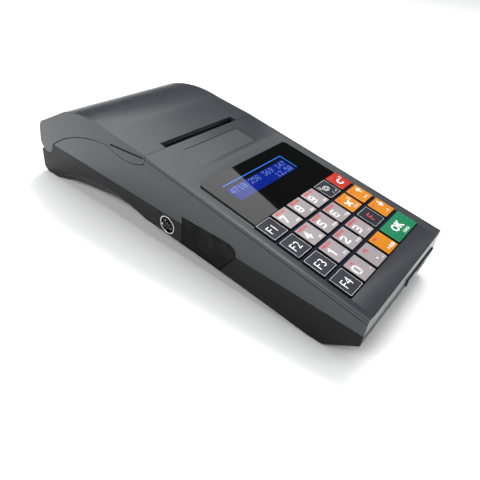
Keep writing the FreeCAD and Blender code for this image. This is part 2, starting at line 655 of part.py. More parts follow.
def screw_seat(y):
    """Height of the shoulder under a screw's head: above the chin at the front, above the arch behind."""
    if y.number < front.number + chin_depth.number:
        return chin_height - (chin_height - sole_height) * screw_front / chin_depth + 2.4
    return arch_height + 2.0


def upper_case():
    """The top shell: front wall, sloping deck with its recess, side walls up to the lid, screw columns."""
    tail, tab_end, tab_start = skirt_points(seam_gap)
    tab_start = (tab_start[0] - seam_gap, tab_start[1])
    deck_end = deck_point(deck_length - seam_gap / 2, Size(0))
    tip = (tail[0] - 1.4, seam_rear_height + seam_gap / 2)
    body = new_body()
    outer = outline(body, "YZ_Plane", (front, seam_front_height + seam_gap / 2), [
        [(front, deck_front_height)], [deck_end], [tab_start],
        [bowed(tab_start, tab_end, -tab_drop), tab_end],
        [bowed(tail, tab_end, skirt_bow), (tip[0], tip[1] + 0.3)], [tip],
        [(front, seam_front_height + seam_gap / 2)]])
    pad(body, outer, case_width)
    under_front = (front + case_wall, deck_front_height - deck_wall + 0.3)
    under_rear = deck_point(deck_length + 3, -deck_wall)
    room = outline(body, "YZ_Plane", (front + case_wall, seam_front_height - 3), [
        [under_front], [under_rear], [(under_rear[0], under_rear[1] + 20)], [(rear, under_rear[1] + 20)],
        [(rear, seam_front_height - 3)], [(front + case_wall, seam_front_height - 3)]])
    pocket(body, room, inner_half_width * 2)
    additions = [body]
    for x, y in screw_places:
        column = rod(column_radius, x, y, seam_height(y) + seam_gap / 2, lid_front_height + 5)
        under_deck = on_deck(block(-half_width + 1, half_width - 1, -5, deck_length, -60, -deck_wall + 0.5))
        additions.append(common(column, under_deck))
    additions.append(port_backing(seam_height(front + flap_front + flap_length) + seam_gap / 2, flap_top + 1.5))
    tools = [on_deck(deck_openings()), flap_body(seam_gap, flap_thickness + seam_gap, 2), port_window(),
             block(-slot_half_width, slot_half_width, lid_front - seam_gap / 2, lid_front + slot_depth,
                   tab_height, lid_front_height + 9)]
    for x, y in screw_places:
        tools.append(rod(screw_radius, x, y, seam_front_height - 5, screw_seat(y) + screw_length + 1))
    return node("upper_case", cut(fused(*additions), *tools))


def deck_openings():
    """Drawn in the deck frame: the recess and what goes through it."""
    key_room = keys_half_width + key_clearance + 0.2
    return fused(
        block(-recess_half_width, recess_half_width, -2, recess_length, -recess_depth, 5),
        block(-key_room, key_room, keys_front - 0.5, keys_rear + 0.2, -deck_wall - 1, 1),
        window_body(0.1, window_thickness + 1, 1),
        block(*display_area(gasket_width + 1), -deck_wall - 1, 0),
        block(-plate_half_width - 0.15, plate_half_width + 0.15, plate_front - 0.15,
              plate_front + plate_length + 0.15, -plate_thickness - plate_sink, 5))


def printer_cover():
    """The lid: top, side skirts with thumb tabs, rear wall with hinge knuckles, and the platen's ears."""
    tail, tab_end, tab_start = skirt_points(Size(0))
    front_top = deck_point(deck_length + seam_gap / 2, Size(0))
    ramp = (front_top[0] + lid_ramp_length, lid_ramp_height)
    shoulder = (rear - lid_shoulder_setback, lid_shoulder_height)
    corner = (rear - lid_rear_setback, lid_rear_height)
    corner_end = (corner[0] + lid_corner_reach, corner[1] - lid_corner_drop)
    back = (hinge + tail_radius, hinge_height)
    below = (hinge, hinge_height - tail_radius)
    tail_end = (hinge + tail_radius * cosine(tail_end_angle), hinge_height + tail_radius * sine(tail_end_angle))
    body = new_body()
    outer = outline(body, "YZ_Plane", front_top, [
        [ramp], [bowed(ramp, shoulder, lid_crest_bow), shoulder], [corner],
        [bowed(corner, corner_end, Size(0.9)), corner_end], [back], [below, tail_end], [tail],
        [bowed(tail, tab_end, skirt_bow), tab_end],
        [bowed(tab_start, tab_end, -tab_drop), tab_start], [front_top]])
    pad(body, outer, case_width)
    w = lid_wall
    room_start = (front_top[0] + w, front_top[1] - w)
    under_ramp = (ramp[0], ramp[1] - w)
    under_shoulder = (shoulder[0] - w / 3, shoulder[1] - w)
    inner_radius = tail_radius - w
    under_corner = (corner[0] - w, corner[1] - w)
    inner_back = (hinge + inner_radius, hinge_height)
    inner_end = (hinge + inner_radius * cosine(tail_end_angle),
                 hinge_height + inner_radius * sine(tail_end_angle))
    floor = hinge_height - tail_radius - 5
    room = outline(body, "YZ_Plane", (room_start[0], floor), [
        [room_start], [under_ramp], [bowed(under_ramp, under_shoulder, lid_crest_bow), under_shoulder],
        [under_corner], [(corner_end[0] - w, corner_end[1])], [inner_back],
        [(hinge, hinge_height - inner_radius), inner_end], [(seam_rear - 4, floor)], [(room_start[0], floor)]])
    pocket(body, room, inner_half_width * 2)
    additions = [body]
    gear_end = gear_inner + gear_width + 1
    for side in (-1, 1):
        near = side * (knuckle_inner + inner_half_width + 0.5) / 2
        half = (inner_half_width + 0.5 - knuckle_inner) / 2
        additions.append(rod(tail_radius, hinge, hinge_height, near - half, near + half, "X"))
        middle = side * (ear_inner + ear_thickness / 2)
        additions.append(block(middle - ear_thickness / 2, middle + ear_thickness / 2, platen - ear_half_length,
                               platen + ear_half_length, platen_height - 3.5, lid_front_height))
    tools = [block(-slot_half_width, slot_half_width, lid_front - 1, lid_front + slot_depth,
                   hinge_height, lid_front_height + 9),
             block(-gear_end, gear_end, lid_front - 1, lid_front + slot_depth - 0.5,
                   hinge_height, lid_front_height - w - 0.3),
             rod(hinge_pin_radius + hinge_running_gap, hinge, hinge_height, -inner_half_width,
                 inner_half_width, "X"),
             rod(shaft_radius + running_gap, platen, platen_height, -frame_inner, frame_inner, "X")]
    for side in (-1, 1):
        middle = side * (hinge_boss_inner + hinge_boss_outer) / 2
        half = (hinge_boss_outer - hinge_boss_inner) / 2 + seam_gap
        tools.append(block(middle - half, middle + half, hinge - tail_radius - 2, rear + 1,
                           floor, hinge_height + tail_radius + 0.6))
        tools.append(nail_groove(side))
    return node("printer_cover", cut(fused(*additions), *tools))


def nail_groove(side):
    """A straight groove along the top of the thumb tab, rising towards the front."""
    rise = math.degrees(math.atan2(1.8, 27.3))
    groove = document.addObject("Part::Box", "nail_groove")
    for prop, value in (("Length", 2 * groove_depth), ("Width", tab_length - 3.4), ("Height", groove_width)):
        setattr(groove, prop, value.number)
        bind(groove, prop, value)
    return place(groove, side * half_width - groove_depth, lid_front + 1.6, tab_height + 2.7,
                 Vector(1, 0, 0), -rise)


# ---------------------------------------------------------------- deck pieces, drawn in the deck frame
def window_body(grow, thickness, out):
    """The display window's shape with rounded rear corners, grown sideways, from out downwards."""
    x = window_half_width + grow
    y_front = keys_rear + 0.3 - grow
    y_rear = keys_rear + 0.3 + window_length + grow
    r = window_corner
    bend = r * (1 - math.sqrt(0.5))
    body = new_body()
    sketch = outline(body, "XY_Plane", (-x, y_front), [
        [(x, y_front)], [(x, y_rear - r)], [(x - bend, y_rear - bend), (x - r, y_rear)],
        [(-x + r, y_rear)], [(-x + bend, y_rear - bend), (-x, y_rear - r)], [(-x, y_front)]])
    pad(body, sketch, thickness, both_ways=False, reverse=True)
    return place(body, 0, 0, out)


def display_window():
    return node("display_window", on_deck(fused(window_body(0, window_thickness, 0), window_gasket())))


def display_area(margin):
    """The display's view, grown by a margin: its left, right, front and rear in the deck frame."""
    return (-view_left - margin, view_right + margin,
            keys_rear + view_front - margin, keys_rear + view_front + view_length + margin)


def window_gasket():
    """A border under the window, round the display's view."""
    rim = block(*display_area(gasket_width), -window_thickness - gasket_thickness, -window_thickness + 0.1)
    view = block(*display_area(0), -window_thickness - 1, -window_thickness)
    return cut(rim, view)


def lcd_module():
    """The display: its framed panel, and the board behind it."""
    back = -deck_wall - panel_depth
    panel = block(*display_area(gasket_width), back, -window_thickness - gasket_thickness - 0.1)
    board = block(*display_area(panel_board_margin), back - board_thickness, back + 0.4)
    return node("lcd_module", on_deck(fused(panel, board)))


def name_plate():
    plate = block(-plate_half_width, plate_half_width, plate_front, plate_front + plate_length,
                  -plate_thickness - plate_sink, -plate_sink)
    return node("name_plate", on_deck(plate))


KEYS = [("key_f1", 0, 0), ("key_7", 0, 1), ("key_8", 0, 2), ("key_9", 0, 3), ("key_operator", 0, 4),
        ("key_clear", 0, 5), ("key_f2", 1, 0), ("key_4", 1, 1), ("key_5", 1, 2), ("key_6", 1, 3),
        ("key_multiply", 1, 4), ("key_up", 1, 5), ("key_f3", 2, 0), ("key_1", 2, 1), ("key_2", 2, 2),
        ("key_3", 2, 3), ("key_shift", 2, 4), ("key_down", 2, 5), ("key_f4", 3, 0), ("key_0", 3, 1),
        ("key_point", 3, 2), ("key_total", 3, 3), ("key_ok", 3, 4)]
DOUBLE_KEY = "key_ok"


def key_box(name, row, column):
    """A key's left, right, front and rear in the deck frame."""
    left = column * key_pitch_across - keys_half_width
    width = key_width + key_pitch_across if name == DOUBLE_KEY else key_width
    back = keys_rear - row * key_pitch_along
    return left, left + width, back - key_depth, back


def key_cap(name, row, column):
    """A key cap with the flange that keeps it under the mat and the stem that presses its dome."""
    left, right, near, far = key_box(name, row, column)
    flange_top = -(mat_drop + mat_thickness + key_clearance)
    flange_bottom = flange_top - key_flange_thickness
    cap = block(left, right, near, far, flange_bottom, 0)
    flange = block(left - key_flange, right + key_flange, near - key_flange, far + key_flange,
                   flange_bottom, flange_top)
    stem = rod(key_stem_radius, (left + right) / 2, (near + far) / 2, flange_bottom - key_stem_length,
               flange_top)
    return node(name, on_deck(fused(cap, flange, stem)))


def keypad_mat():
    """The soft mat whose web shows between the keys, with a skirt that stands on the key board."""
    field = block(-keys_half_width - mat_margin, keys_half_width + mat_margin, keys_front - mat_margin,
                  keys_rear + 0.1, -mat_drop - mat_thickness, -mat_drop)
    half = keys_half_width + mat_ledge
    ledge = block(-half, half, keys_front - mat_ledge, keys_rear + mat_ledge,
                  -mat_drop - mat_thickness, -deck_wall - 0.1)
    skirt = cut(block(-half, half, keys_front - mat_ledge, keys_rear + mat_ledge, key_board_top,
                      -deck_wall - 0.1),
                block(mat_skirt - half, half - mat_skirt, keys_front - mat_ledge + mat_skirt,
                      keys_rear + mat_ledge - mat_skirt, key_board_top - 1, 0))
    wells = []
    for name, row, column in KEYS:
        left, right, near, far = key_box(name, row, column)
        wells.append(block(left - key_clearance, right + key_clearance, near - key_clearance,
                           far + key_clearance, -mat_drop - mat_thickness - 1, 1))
    return node("keypad_mat", on_deck(fused(cut(fused(field, ledge), *wells), skirt)))


def keypad_board():
    half = keys_half_width + mat_ledge
    board = block(-half, half, keys_front - mat_ledge, keys_rear + mat_ledge,
                  key_board_top - board_thickness, key_board_top)
    return node("keypad_board", on_deck(board))


def key_domes():
    domes = []
    for name, row, column in KEYS:
        left, right, near, far = key_box(name, row, column)
        domes.append(rod(dome_radius, (left + right) / 2, (near + far) / 2, key_board_top,
                         key_board_top + dome_thickness))
    return node("key_domes", on_deck(grouped(*domes)))


# ---------------------------------------------------------------- side and front fittings
def flap_body(grow, depth, proud):
    """The port cover's outline on the left wall, grown all round, from proud of the wall inwards."""
    tip = front + flap_front - grow
    back = front + flap_front + flap_length + grow
    top = flap_top + grow
    slant_foot = (tip + flap_bevel, flap_bottom_front - grow)
    r = flap_corner
    bend = r * (1 - math.sqrt(0.5))
    elbow = seam_height(tip) - 0.6
    body = new_body()
    sketch = outline(body, "YZ_Plane", slant_foot, [
        [(back, flap_bottom_rear - grow)], [(back, top)], [(tip + r, top)],
        [(tip + bend, top - bend), (tip, top - r)], [(tip, elbow)], [slant_foot]])
    pad(body, sketch, depth + proud, both_ways=False)
    return place(body, -half_width - proud, 0, 0)


def port_window():
    """The hole in the left wall behind the port cover."""
    return block(-half_width - 1, -inner_half_width + port_wall + 1, front + flap_front + 4,
                 front + flap_front + flap_length - 3, main_board_height + 1.4, main_board_height + 11.2)


def port_backing(low, high):
    """Thickens the left wall behind the port cover."""
    return block(-inner_half_width - 0.5, -inner_half_width + port_wall, front + flap_front - 1,
                 front + flap_front + flap_length + 1, low, high)


def port_cover():
    return node("port_cover", flap_body(Size(0), flap_thickness, Size(0)))


def usb_port():
    near = front + flap_front + usb_place
    far = near + port_width
    floor = main_board_height + board_thickness
    left = -inner_half_width + port_inset
    shell = block(left, -usb_reach, near, far, floor, floor + usb_height)
    mouth = block(left - 1, -usb_reach - 2, near + usb_wall, far - usb_wall, floor + usb_wall,
                  floor + usb_height - usb_wall)
    tongue = block(left + 0.5, -usb_reach - 1, near + 1.5, far - 1.5, floor + usb_height - 2.2,
                   floor + usb_height - 1)
    return node("usb_port", fused(cut(shell, mouth), tongue))


def drawer_port():
    near = front + flap_front + drawer_place
    far = near + port_width
    floor = main_board_height + board_thickness
    left = -inner_half_width + port_inset
    shell = block(left, -drawer_reach, near, far, floor, floor + drawer_height)
    mouth = block(left - 1, -drawer_reach - 3, near + drawer_wall, far - drawer_wall, floor + drawer_wall,
                  floor + drawer_height - drawer_wall)
    return node("drawer_port", cut(shell, mouth))


def front_cover():
    """The small cover over the card slot in the front wall."""
    face = block(cover_left, cover_right, front - cover_proud, front + case_wall * 0.6,
                 cover_bottom, seam_front_height - 0.4)
    plug = block(cover_left + cover_plug_inset, cover_right - cover_plug_inset, front, front + case_wall,
                 cover_bottom + 1.1, seam_front_height - 0.9)
    grip = [rod(cover_grip_radius, front - cover_proud, cover_bottom + 1.0 + cover_grip_pitch * line,
                cover_left + cover_grip_inset, cover_right - cover_grip_inset, "X") for line in range(3)]
    return node("front_cover", cut(fused(face, plug), *grip))


def power_socket():
    """The round power inlet: a metal ring, the insulator at its bottom and four contact pins."""
    y, z, outside = front + socket_setback, socket_height, -half_width
    floor = outside + socket_depth - insulator_length
    ring = cut(rod(socket_radius, y, z, outside, outside + socket_depth, "X"),
               rod(socket_radius - socket_ring, y, z, outside - 1, outside + socket_depth + 1, "X"))
    pins = []
    for number in range(4):
        angle = math.radians(45 + 90 * number)
        pin_y = y + contact_circle * math.cos(angle)
        pin_z = z + contact_circle * math.sin(angle)
        pins.append(rod(contact_radius, pin_y, pin_z, floor - contact_proud, outside + socket_depth + 1.5, "X"))
    key_hole = rod(socket_key_radius, y, z, floor - 1, floor + 2.5, "X")
    insulator = cut(rod(socket_radius - socket_ring, y, z, floor, outside + socket_depth, "X"), key_hole,
                    *pins)
    node("power_socket_ring", ring)
    node("power_socket_pins", grouped(*pins))
    return node("power_socket", insulator)


def foot_places():
    return [(side * foot_spread / 2, y) for side in (-1, 1)
            for y in (front + chin_depth + front_sole_length / 2, rear - rear_corner - rear_sole_length / 2)]


def rubber_feet():
    return node("rubber_feet", grouped(*[rod(foot_radius, x, y, 0, foot_thickness) for x, y in foot_places()]))


def case_screws():
    screws = []
    for x, y in screw_places:
        seat = screw_seat(y)
        shape = fused(rod(screw_radius, x, y, seat - 0.5, seat + screw_length),
                      rod(screw_head_radius, x, y, seat - screw_head_height, seat))
        long, wide = screw_slot_length / 2, screw_slot_width / 2
        low, high = seat - screw_head_height - 1, seat - screw_head_height + screw_slot_depth
        screws.append(cut(shape, block(x - long, x + long, y - wide, y + wide, low, high),
                          block(x - wide, x + wide, y - long, y + long, low, high)))
    return node("case_screws", grouped(*screws))


def hatch_plate(grow, low, high):
    return block(-hatch_half_width - grow, hatch_half_width + grow, hatch_front - grow + 2,
                 hatch_front + hatch_length + grow - 2, low, high)


def battery_hatch():
    plate = hatch_plate(Size(0), belly_height, belly_height + hatch_thickness - 0.1)
    grooves = []
    for line in range(4):
        start = hatch_front + hatch_ridge_place + line * hatch_ridge_pitch
        grooves.append(block(-hatch_ridge_width / 2, hatch_ridge_width / 2, start,
                             start + hatch_ridge_pitch / 2, belly_height - 1, belly_height + hatch_ridge_depth))
    return node("battery_hatch", cut(plate, *grooves))


# ---------------------------------------------------------------- inside
def main_board():
    half = main_board_half_width
    y = front + main_board_front
    return node("main_board", block(-half, half, y, y + main_board_length, main_board_height,
                                    main_board_height + board_thickness))


# left, right, distance of the front and rear edges from the board's front edge, and height
BOARD_BLOCKS = [(-8, 6, 26, 40, 1.4), (12, 24, 28, 36, 1.2), (5, 30, 4, 18, 1.8), (-30, -18, 8, 12, 2.6),
                (10, 28, 88, 92, 5)]
# radius, place across, distance from the board's front edge, and height
BOARD_ROUNDS = [(10, 20, 58, 3.2), (5.5, 26, 78, 6.5), (3, -6, 84, 8), (3, 2, 84, 8), (3, 10, 84, 8)]


def board_parts():
    """Chips and sockets, then the clock's coin cell, the buzzer and three capacitors, on the main board."""
    floor = main_board_height + board_thickness
    y = front + main_board_front
    pieces = [block(left, right, y + near, y + far, floor, floor + height)
              for left, right, near, far, height in BOARD_BLOCKS]
    pieces += [rod(radius, x, y + along, floor, floor + height) for radius, x, along, height in BOARD_ROUNDS]
    return node("board_parts", grouped(*pieces))


def fiscal_memory():
    """The sealed block that stores the sales totals."""
    floor = main_board_height + board_thickness
    near = front + main_board_front + memory_place
    return node("fiscal_memory", block(-memory_left, memory_width - memory_left, near, near + memory_length,
                                       floor, floor + memory_height))


def battery_pack():
    """Four cells in two layers inside one sleeve."""
    low = battery_bottom + cell_radius
    high = low + 2 * cell_radius + 0.2
    half = battery_half_width
    sleeve = block(-half, half, battery - cell_radius, battery + cell_radius, low, high)
    return node("battery_pack", fused(rod(cell_radius, battery, low, -half, half, "X"),
                                      rod(cell_radius, battery, high, -half, half, "X"), sleeve))


def paper_tray():
    """A trough with end walls that the roll drops into, on two legs."""
    outer = roll_radius + tray_gap + tray_wall
    half = roll_half_width + 0.5 + tray_wall
    trough = cut(rod(outer, roll, roll_height, -half, half, "X"),
                 rod(outer - tray_wall, roll, roll_height, tray_wall - half, half - tray_wall, "X"),
                 block(-half - 1, half + 1, roll - outer - 1, roll + outer + 1, roll_height + 2,
                       roll_height + outer + 1))
    legs = []
    for side in (-1, 1):
        left = (side * tray_leg_spread - tray_leg_width) / 2
        right = left + tray_leg_width
        leg = block(left, right, roll + tray_leg_front, roll + tray_leg_front + tray_leg_length,
                    ledge_top, roll_height)
        legs.append(cut(leg, rod(outer - 0.5, roll, roll_height, left - 1, right + 1, "X")))
    return node("paper_tray", fused(trough, *legs))


def paper_roll():
    paper = cut(rod(roll_radius, roll, roll_height, -roll_half_width, roll_half_width, "X"),
                rod(core_radius, roll, roll_height, -roll_half_width - 1, roll_half_width + 1, "X"))
    return node("paper_roll", paper)


def paper_core():
    tube = cut(rod(core_radius, roll, roll_height, -roll_half_width, roll_half_width, "X"),
               rod(core_radius - core_wall, roll, roll_height, -roll_half_width - 1, roll_half_width + 1, "X"))
    return node("paper_core", tube)


def printer_frame():
    """Side plates with open notches for the platen, a cross plate, a front wall for the springs, a stud."""
    outer = frame_inner + frame_plate
    frame_front = lid_front - frame_front_reach
    frame_rear = lid_front + frame_rear_reach
    floor = arch_height + case_wall + 0.2
    cross_height = pinion[1] + motor_radius + 1.2
    plates = []
    for side in (-1, 1):
        middle = side * (frame_inner + frame_plate / 2)
        low, high = middle - frame_plate / 2, middle + frame_plate / 2
        plates.append(cut(block(low, high, frame_front, frame_rear, floor, frame_top),
                          block(low - 1, high + 1, frame_front - 1, platen - platen_radius - 2, frame_top - 5,
                                frame_top + 1)))
    plates.append(block(-outer, outer, platen - platen_radius + 3, frame_rear, cross_height,
                        cross_height + frame_plate))
    plates.append(block(-outer, outer, frame_front, frame_front + frame_plate, cross_height, frame_top - 6))
    stud = rod(stud_radius, idler[0], idler[1], outer - 0.5, gear_inner + gear_width + 0.8, "X")
    notch = [rod(shaft_radius + 0.5, platen, platen_height, -outer - 1, outer + 1, "X"),
             block(-outer - 1, outer + 1, platen - shaft_radius - 0.5, platen + shaft_radius + 1.2,
                   platen_height, frame_top + 1),
             rod(motor_shaft_radius + 0.4, pinion[0], pinion[1], frame_inner - 1, outer + 1, "X")]
    return node("printer_frame", fused(cut(fused(*plates), *notch), stud))


def print_head():
    """The ceramic strip on its metal backing, just ahead of the platen."""
    face = platen - platen_radius - head_gap
    half = platen_half_length
    return node("print_head", block(-half, half, face - head_thickness, face,
                                    platen_height - head_height + 3, platen_height + 3))


def head_springs():
    """Two coil springs between the frame's front wall and the print head."""
    start = lid_front - frame_front_reach + frame_plate + spring_wire
    end = platen - platen_radius - head_gap - head_thickness - spring_wire
    springs = []
    for side in (-1, 1):
        coil = document.addObject("Part::Helix", "coil")
        coil.Radius = spring_radius.number
        coil.Height = (end - start).number
        coil.Pitch = (end - start).number / 4
        bind(coil, "Radius", spring_radius)
        bind(coil, "Height", end - start)
        bind(coil, "Pitch", (end - start) / 4)
        wire = document.addObject("Part::Circle", "wire")
        wire.Radius = spring_wire.number
        bind(wire, "Radius", spring_wire)
        place(wire, spring_radius, 0, 0, Vector(1, 0, 0), 90)
        spring = document.addObject("Part::Sweep", "spring")
        spring.Sections = [wire]
        spring.Spine = (coil, ["Edge1"])
        spring.Solid = True
        spring.Frenet = True
        springs.append(place(spring, side * spring_spread / 2, start, platen_height - 5, Vector(1, 0, 0), -90))
    return node("head_springs", grouped(*springs))


# below and above the pitch circle, then half a tooth's width at its root and at its tip, all in modules
TOOTH_ROOT, TOOTH_TIP = 1.25, 0.9
TOOTH_FOOT, TOOTH_CROWN = 0.95, 0.38


def gear(teeth, bore):
    """A spur gear about X: a toothed disc made of one tooth and its circular pattern, with a bore."""
    pitch_radius = gear_module * teeth / 2
    root = pitch_radius - TOOTH_ROOT * gear_module
    tip = pitch_radius + TOOTH_TIP * gear_module
    body = new_body()
    disc = body.newObject("Sketcher::SketchObject", "disc")
    plane = [feature for feature in body.Origin.OriginFeatures if feature.Role == "YZ_Plane"][0]
    disc.AttachmentSupport = [(plane, "")]
    disc.MapMode = "FlatFace"
    for radius in (root, bore):
        circle = disc.addGeometry(Part.Circle(Vector(0, 0, 0), Vector(0, 0, 1), radius.number), False)
        disc.addConstraint(Sketcher.Constraint("Coincident", circle, 3, -1, 1))
        index = disc.addConstraint(Sketcher.Constraint("Radius", circle, radius.number))
        bind(disc, f"Constraints[{index}]", radius)
    pad(body, disc, gear_width, both_ways=False)
    foot, crown = TOOTH_FOOT * gear_module, TOOTH_CROWN * gear_module
    tooth = outline(body, "YZ_Plane", (root - 0.3, -foot), [
        [(tip, -crown)], [(tip, crown)], [(root - 0.3, foot)], [(root - 0.3, -foot)]])
    tooth_pad = pad(body, tooth, gear_width, both_ways=False)
    ring = body.newObject("PartDesign::PolarPattern", "ring")
    ring.Originals = [tooth_pad]
    axis = [feature for feature in body.Origin.OriginFeatures if feature.Role == "X_Axis"][0]
    ring.Axis = (axis, [""])
    ring.Angle = 360
    ring.Occurrences = round(teeth.number)
    bind(ring, "Occurrences", teeth)
    body.Tip = ring
    return body


def set_gear(body, centre, turn):
    """Puts a gear in the train, turned so that its teeth meet its neighbour's gaps."""
    return place(body, gear_inner, centre[0], centre[1], Vector(1, 0, 0), turn)


def gear_train():
    """The platen's gear, the idler between, and the pinion on the motor's shaft."""
    # a tooth of the idler points along the line to the platen, so the platen shows it a gap
    toward = -train_angle
    platen_wheel = gear(platen_teeth, shaft_radius)
    node("platen_gear", set_gear(platen_wheel, (platen, platen_height), toward + 180 / platen_teeth))
    node("idler_gear", set_gear(gear(idler_teeth, stud_radius + running_gap), idler, toward + 180))
    wheel = set_gear(gear(pinion_teeth, motor_shaft_radius), pinion, toward + 180 + 180 / pinion_teeth)
    shaft = rod(motor_shaft_radius, pinion[0], pinion[1], frame_inner - 4, gear_inner + gear_width + 0.4, "X")
    node("motor_pinion", fused(wheel, shaft))


def printer_motor():
    end = frame_inner - 0.2
    can = rod(motor_radius, pinion[0], pinion[1], end - motor_length, end, "X")
    bore = rod(motor_shaft_radius + running_gap, pinion[0], pinion[1], end - 5, end + 1, "X")
    return node("printer_motor", cut(can, bore))


def platen_roller():
    half = platen_half_length
    return node("platen_roller", cut(rod(platen_radius, platen, platen_height, -half, half, "X"),
                                     rod(shaft_radius, platen, platen_height, -half - 1, half + 1, "X")))


def platen_shaft():
    left = -ear_inner - ear_thickness - 0.3
    return node("platen_shaft", rod(shaft_radius, platen, platen_height, left, gear_inner + gear_width, "X"))


def tear_bar():
    """A thin steel strip along the slot's front edge with a row of teeth on top."""
    half = slot_half_width - 0.6
    top = lid_front_height - 0.9
    body = new_body()
    strip = outline(body, "XZ_Plane", (-half, top - tear_height), [
        [(half, top - tear_height)], [(half, top)], [(-half, top)], [(-half, top - tear_height)]])
    pad(body, strip, tear_thickness, both_ways=False)
    document.recompute()
    gullet = outline(body, "XZ_Plane", (-half, top + 0.5), [
        [(-half, top - 0.9)], [(-half + tear_pitch / 2, top + 0.5)], [(-half, top + 0.5)]])
    notch = pocket(body, gullet, 4 * tear_thickness)
    row = body.newObject("PartDesign::LinearPattern", "row")
    row.Originals = [notch]
    axis = [feature for feature in body.Origin.OriginFeatures if feature.Role == "X_Axis"][0]
    row.Direction = (axis, [""])
    count = math.floor(2 * half.number / tear_pitch.number)
    row.Occurrences = count
    row.Length = count * tear_pitch.number - tear_pitch.number
    body.Tip = row
    return node("tear_bar", place(body, 0, lid_front - seam_gap / 2 + tear_thickness, 0))


def hinge_pin():
    reach = inner_half_width - pin_end_gap
    return node("hinge_pin", rod(hinge_pin_radius, hinge, hinge_height, -reach, reach, "X"))


# ---------------------------------------------------------------- the whole register
def build():
    lower_case()
    upper_case()
    printer_cover()
    display_window()
    lcd_module()
    name_plate()
    for name, row, column in KEYS:
        key_cap(name, row, column)
    keypad_mat()
    keypad_board()
    key_domes()
    port_cover()
    usb_port()
    drawer_port()
    front_cover()
    power_socket()
    rubber_feet()
    case_screws()
    battery_hatch()
    main_board()
    board_parts()
    fiscal_memory()
    battery_pack()
    paper_tray()
    paper_roll()
    paper_core()
    printer_frame()
    print_head()
    head_springs()
    gear_train()
    printer_motor()
    platen_roller()
    platen_shaft()
    tear_bar()
    hinge_pin()


def check():
    """Stops if any object failed, or any node's shape is empty or not valid."""
    faults = [piece.Label for piece in document.Objects if {"Invalid", "Error"} & set(piece.State)]
    for piece in nodes:
        if piece.Shape.isNull() or not piece.Shape.isValid() or not piece.Shape.Solids:
            faults.append(piece.Label)
    if faults:
        raise RuntimeError("these failed: " + ", ".join(faults))


build()
document.recompute()
check()
os.makedirs("parts", exist_ok=True)
for piece in nodes:
    piece.Shape.exportStep(os.path.join("parts", piece.Label + ".step"))
    print(piece.Label, len(piece.Shape.Solids), round(piece.Shape.Volume))
print(len(nodes), "nodes")
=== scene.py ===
import json
import math

import bmesh
import bpy
from mathutils import Matrix, Vector


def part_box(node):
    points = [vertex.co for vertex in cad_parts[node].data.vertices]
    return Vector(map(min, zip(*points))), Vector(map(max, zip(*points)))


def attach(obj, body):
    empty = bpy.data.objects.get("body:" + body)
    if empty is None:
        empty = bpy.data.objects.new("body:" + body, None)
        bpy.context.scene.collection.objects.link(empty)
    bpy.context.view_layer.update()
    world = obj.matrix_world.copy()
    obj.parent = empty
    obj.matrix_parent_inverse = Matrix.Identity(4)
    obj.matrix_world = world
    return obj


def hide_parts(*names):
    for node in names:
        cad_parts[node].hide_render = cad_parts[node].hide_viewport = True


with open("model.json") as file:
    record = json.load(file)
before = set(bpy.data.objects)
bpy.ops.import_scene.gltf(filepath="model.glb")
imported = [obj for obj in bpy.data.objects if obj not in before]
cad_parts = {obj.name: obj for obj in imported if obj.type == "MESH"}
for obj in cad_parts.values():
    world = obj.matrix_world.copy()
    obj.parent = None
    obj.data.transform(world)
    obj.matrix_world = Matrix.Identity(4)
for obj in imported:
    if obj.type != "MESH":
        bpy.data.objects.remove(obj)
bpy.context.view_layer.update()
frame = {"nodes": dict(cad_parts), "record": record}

MM = 0.001
BODY_OF = {node: body for body, nodes in frame["record"]["behaviour"]["bodies"].items() for node in nodes}
SLOT_OF = {row["node"]: row["material_slot"] for row in frame["record"]["subparts"]}
DECK_SLOPE = math.radians(9.93)
DECK_FRONT_HEIGHT = 28.2 * MM
# the front cover stands 0.8 mm ahead of the front wall, where the deck frame starts
FRONT_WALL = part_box("front_cover")[0].y + 0.8 * MM
DECK = Matrix.Translation((0, FRONT_WALL, DECK_FRONT_HEIGHT)) @ Matrix.Rotation(DECK_SLOPE, 4, "X")
# an edge that turns by more than this many degrees is rounded and shaded as an edge
SHARP_ANGLE = 32

# the case and its recess, in mm, in the deck frame where they are on the deck
CASE_HALF_WIDTH = 44
RECESS_DEPTH = 1.0
RECESS_HALF_WIDTH = 41.7
RECESS_FLOOR_HALF_WIDTH = 38.8
RECESS_REAR = 104.8
RECESS_SLOPE_TOP = 109.5
RECESS_SLOPE_FOOT = 103.0
LID_SIDE_START = 60
LIP_INNER_EDGE = 41.9
LIP_FRONT = 14
CREASE_LEVEL, CREASE_WIDTH, CREASE_DEPTH = -2.0, 0.4, 0.45


# ------------------------------------------------------------------ camera, floor and light
def set_camera():
    data = bpy.data.cameras.new("camera")
    data.sensor_width = 36
    data.lens = 31.99
    data.clip_start = 0.01
    camera = bpy.data.objects.new("camera", data)
    right = Vector((0.62966, -0.77274, 0.07998))
    up = Vector((0.43348, 0.43491, 0.78927))
    back = Vector((-0.64469, -0.46231, 0.60881))
    camera.matrix_world = Matrix.Translation((-0.172696, -0.1444, 0.15421)) @ Matrix(
        (right, up, back)).transposed().to_4x4()
    bpy.context.scene.collection.objects.link(camera)
    bpy.context.scene.camera = camera


def softbox(name, centre, target, width, height, power):
    data = bpy.data.lights.new(name, "AREA")
    data.shape = "RECTANGLE"
    data.size = width
    data.size_y = height
    data.energy = power
    light = bpy.data.objects.new(name, data)
    light.location = centre
    light.rotation_euler = (Vector(target) - Vector(centre)).to_track_quat("-Z", "Y").to_euler()
    bpy.context.scene.collection.objects.link(light)


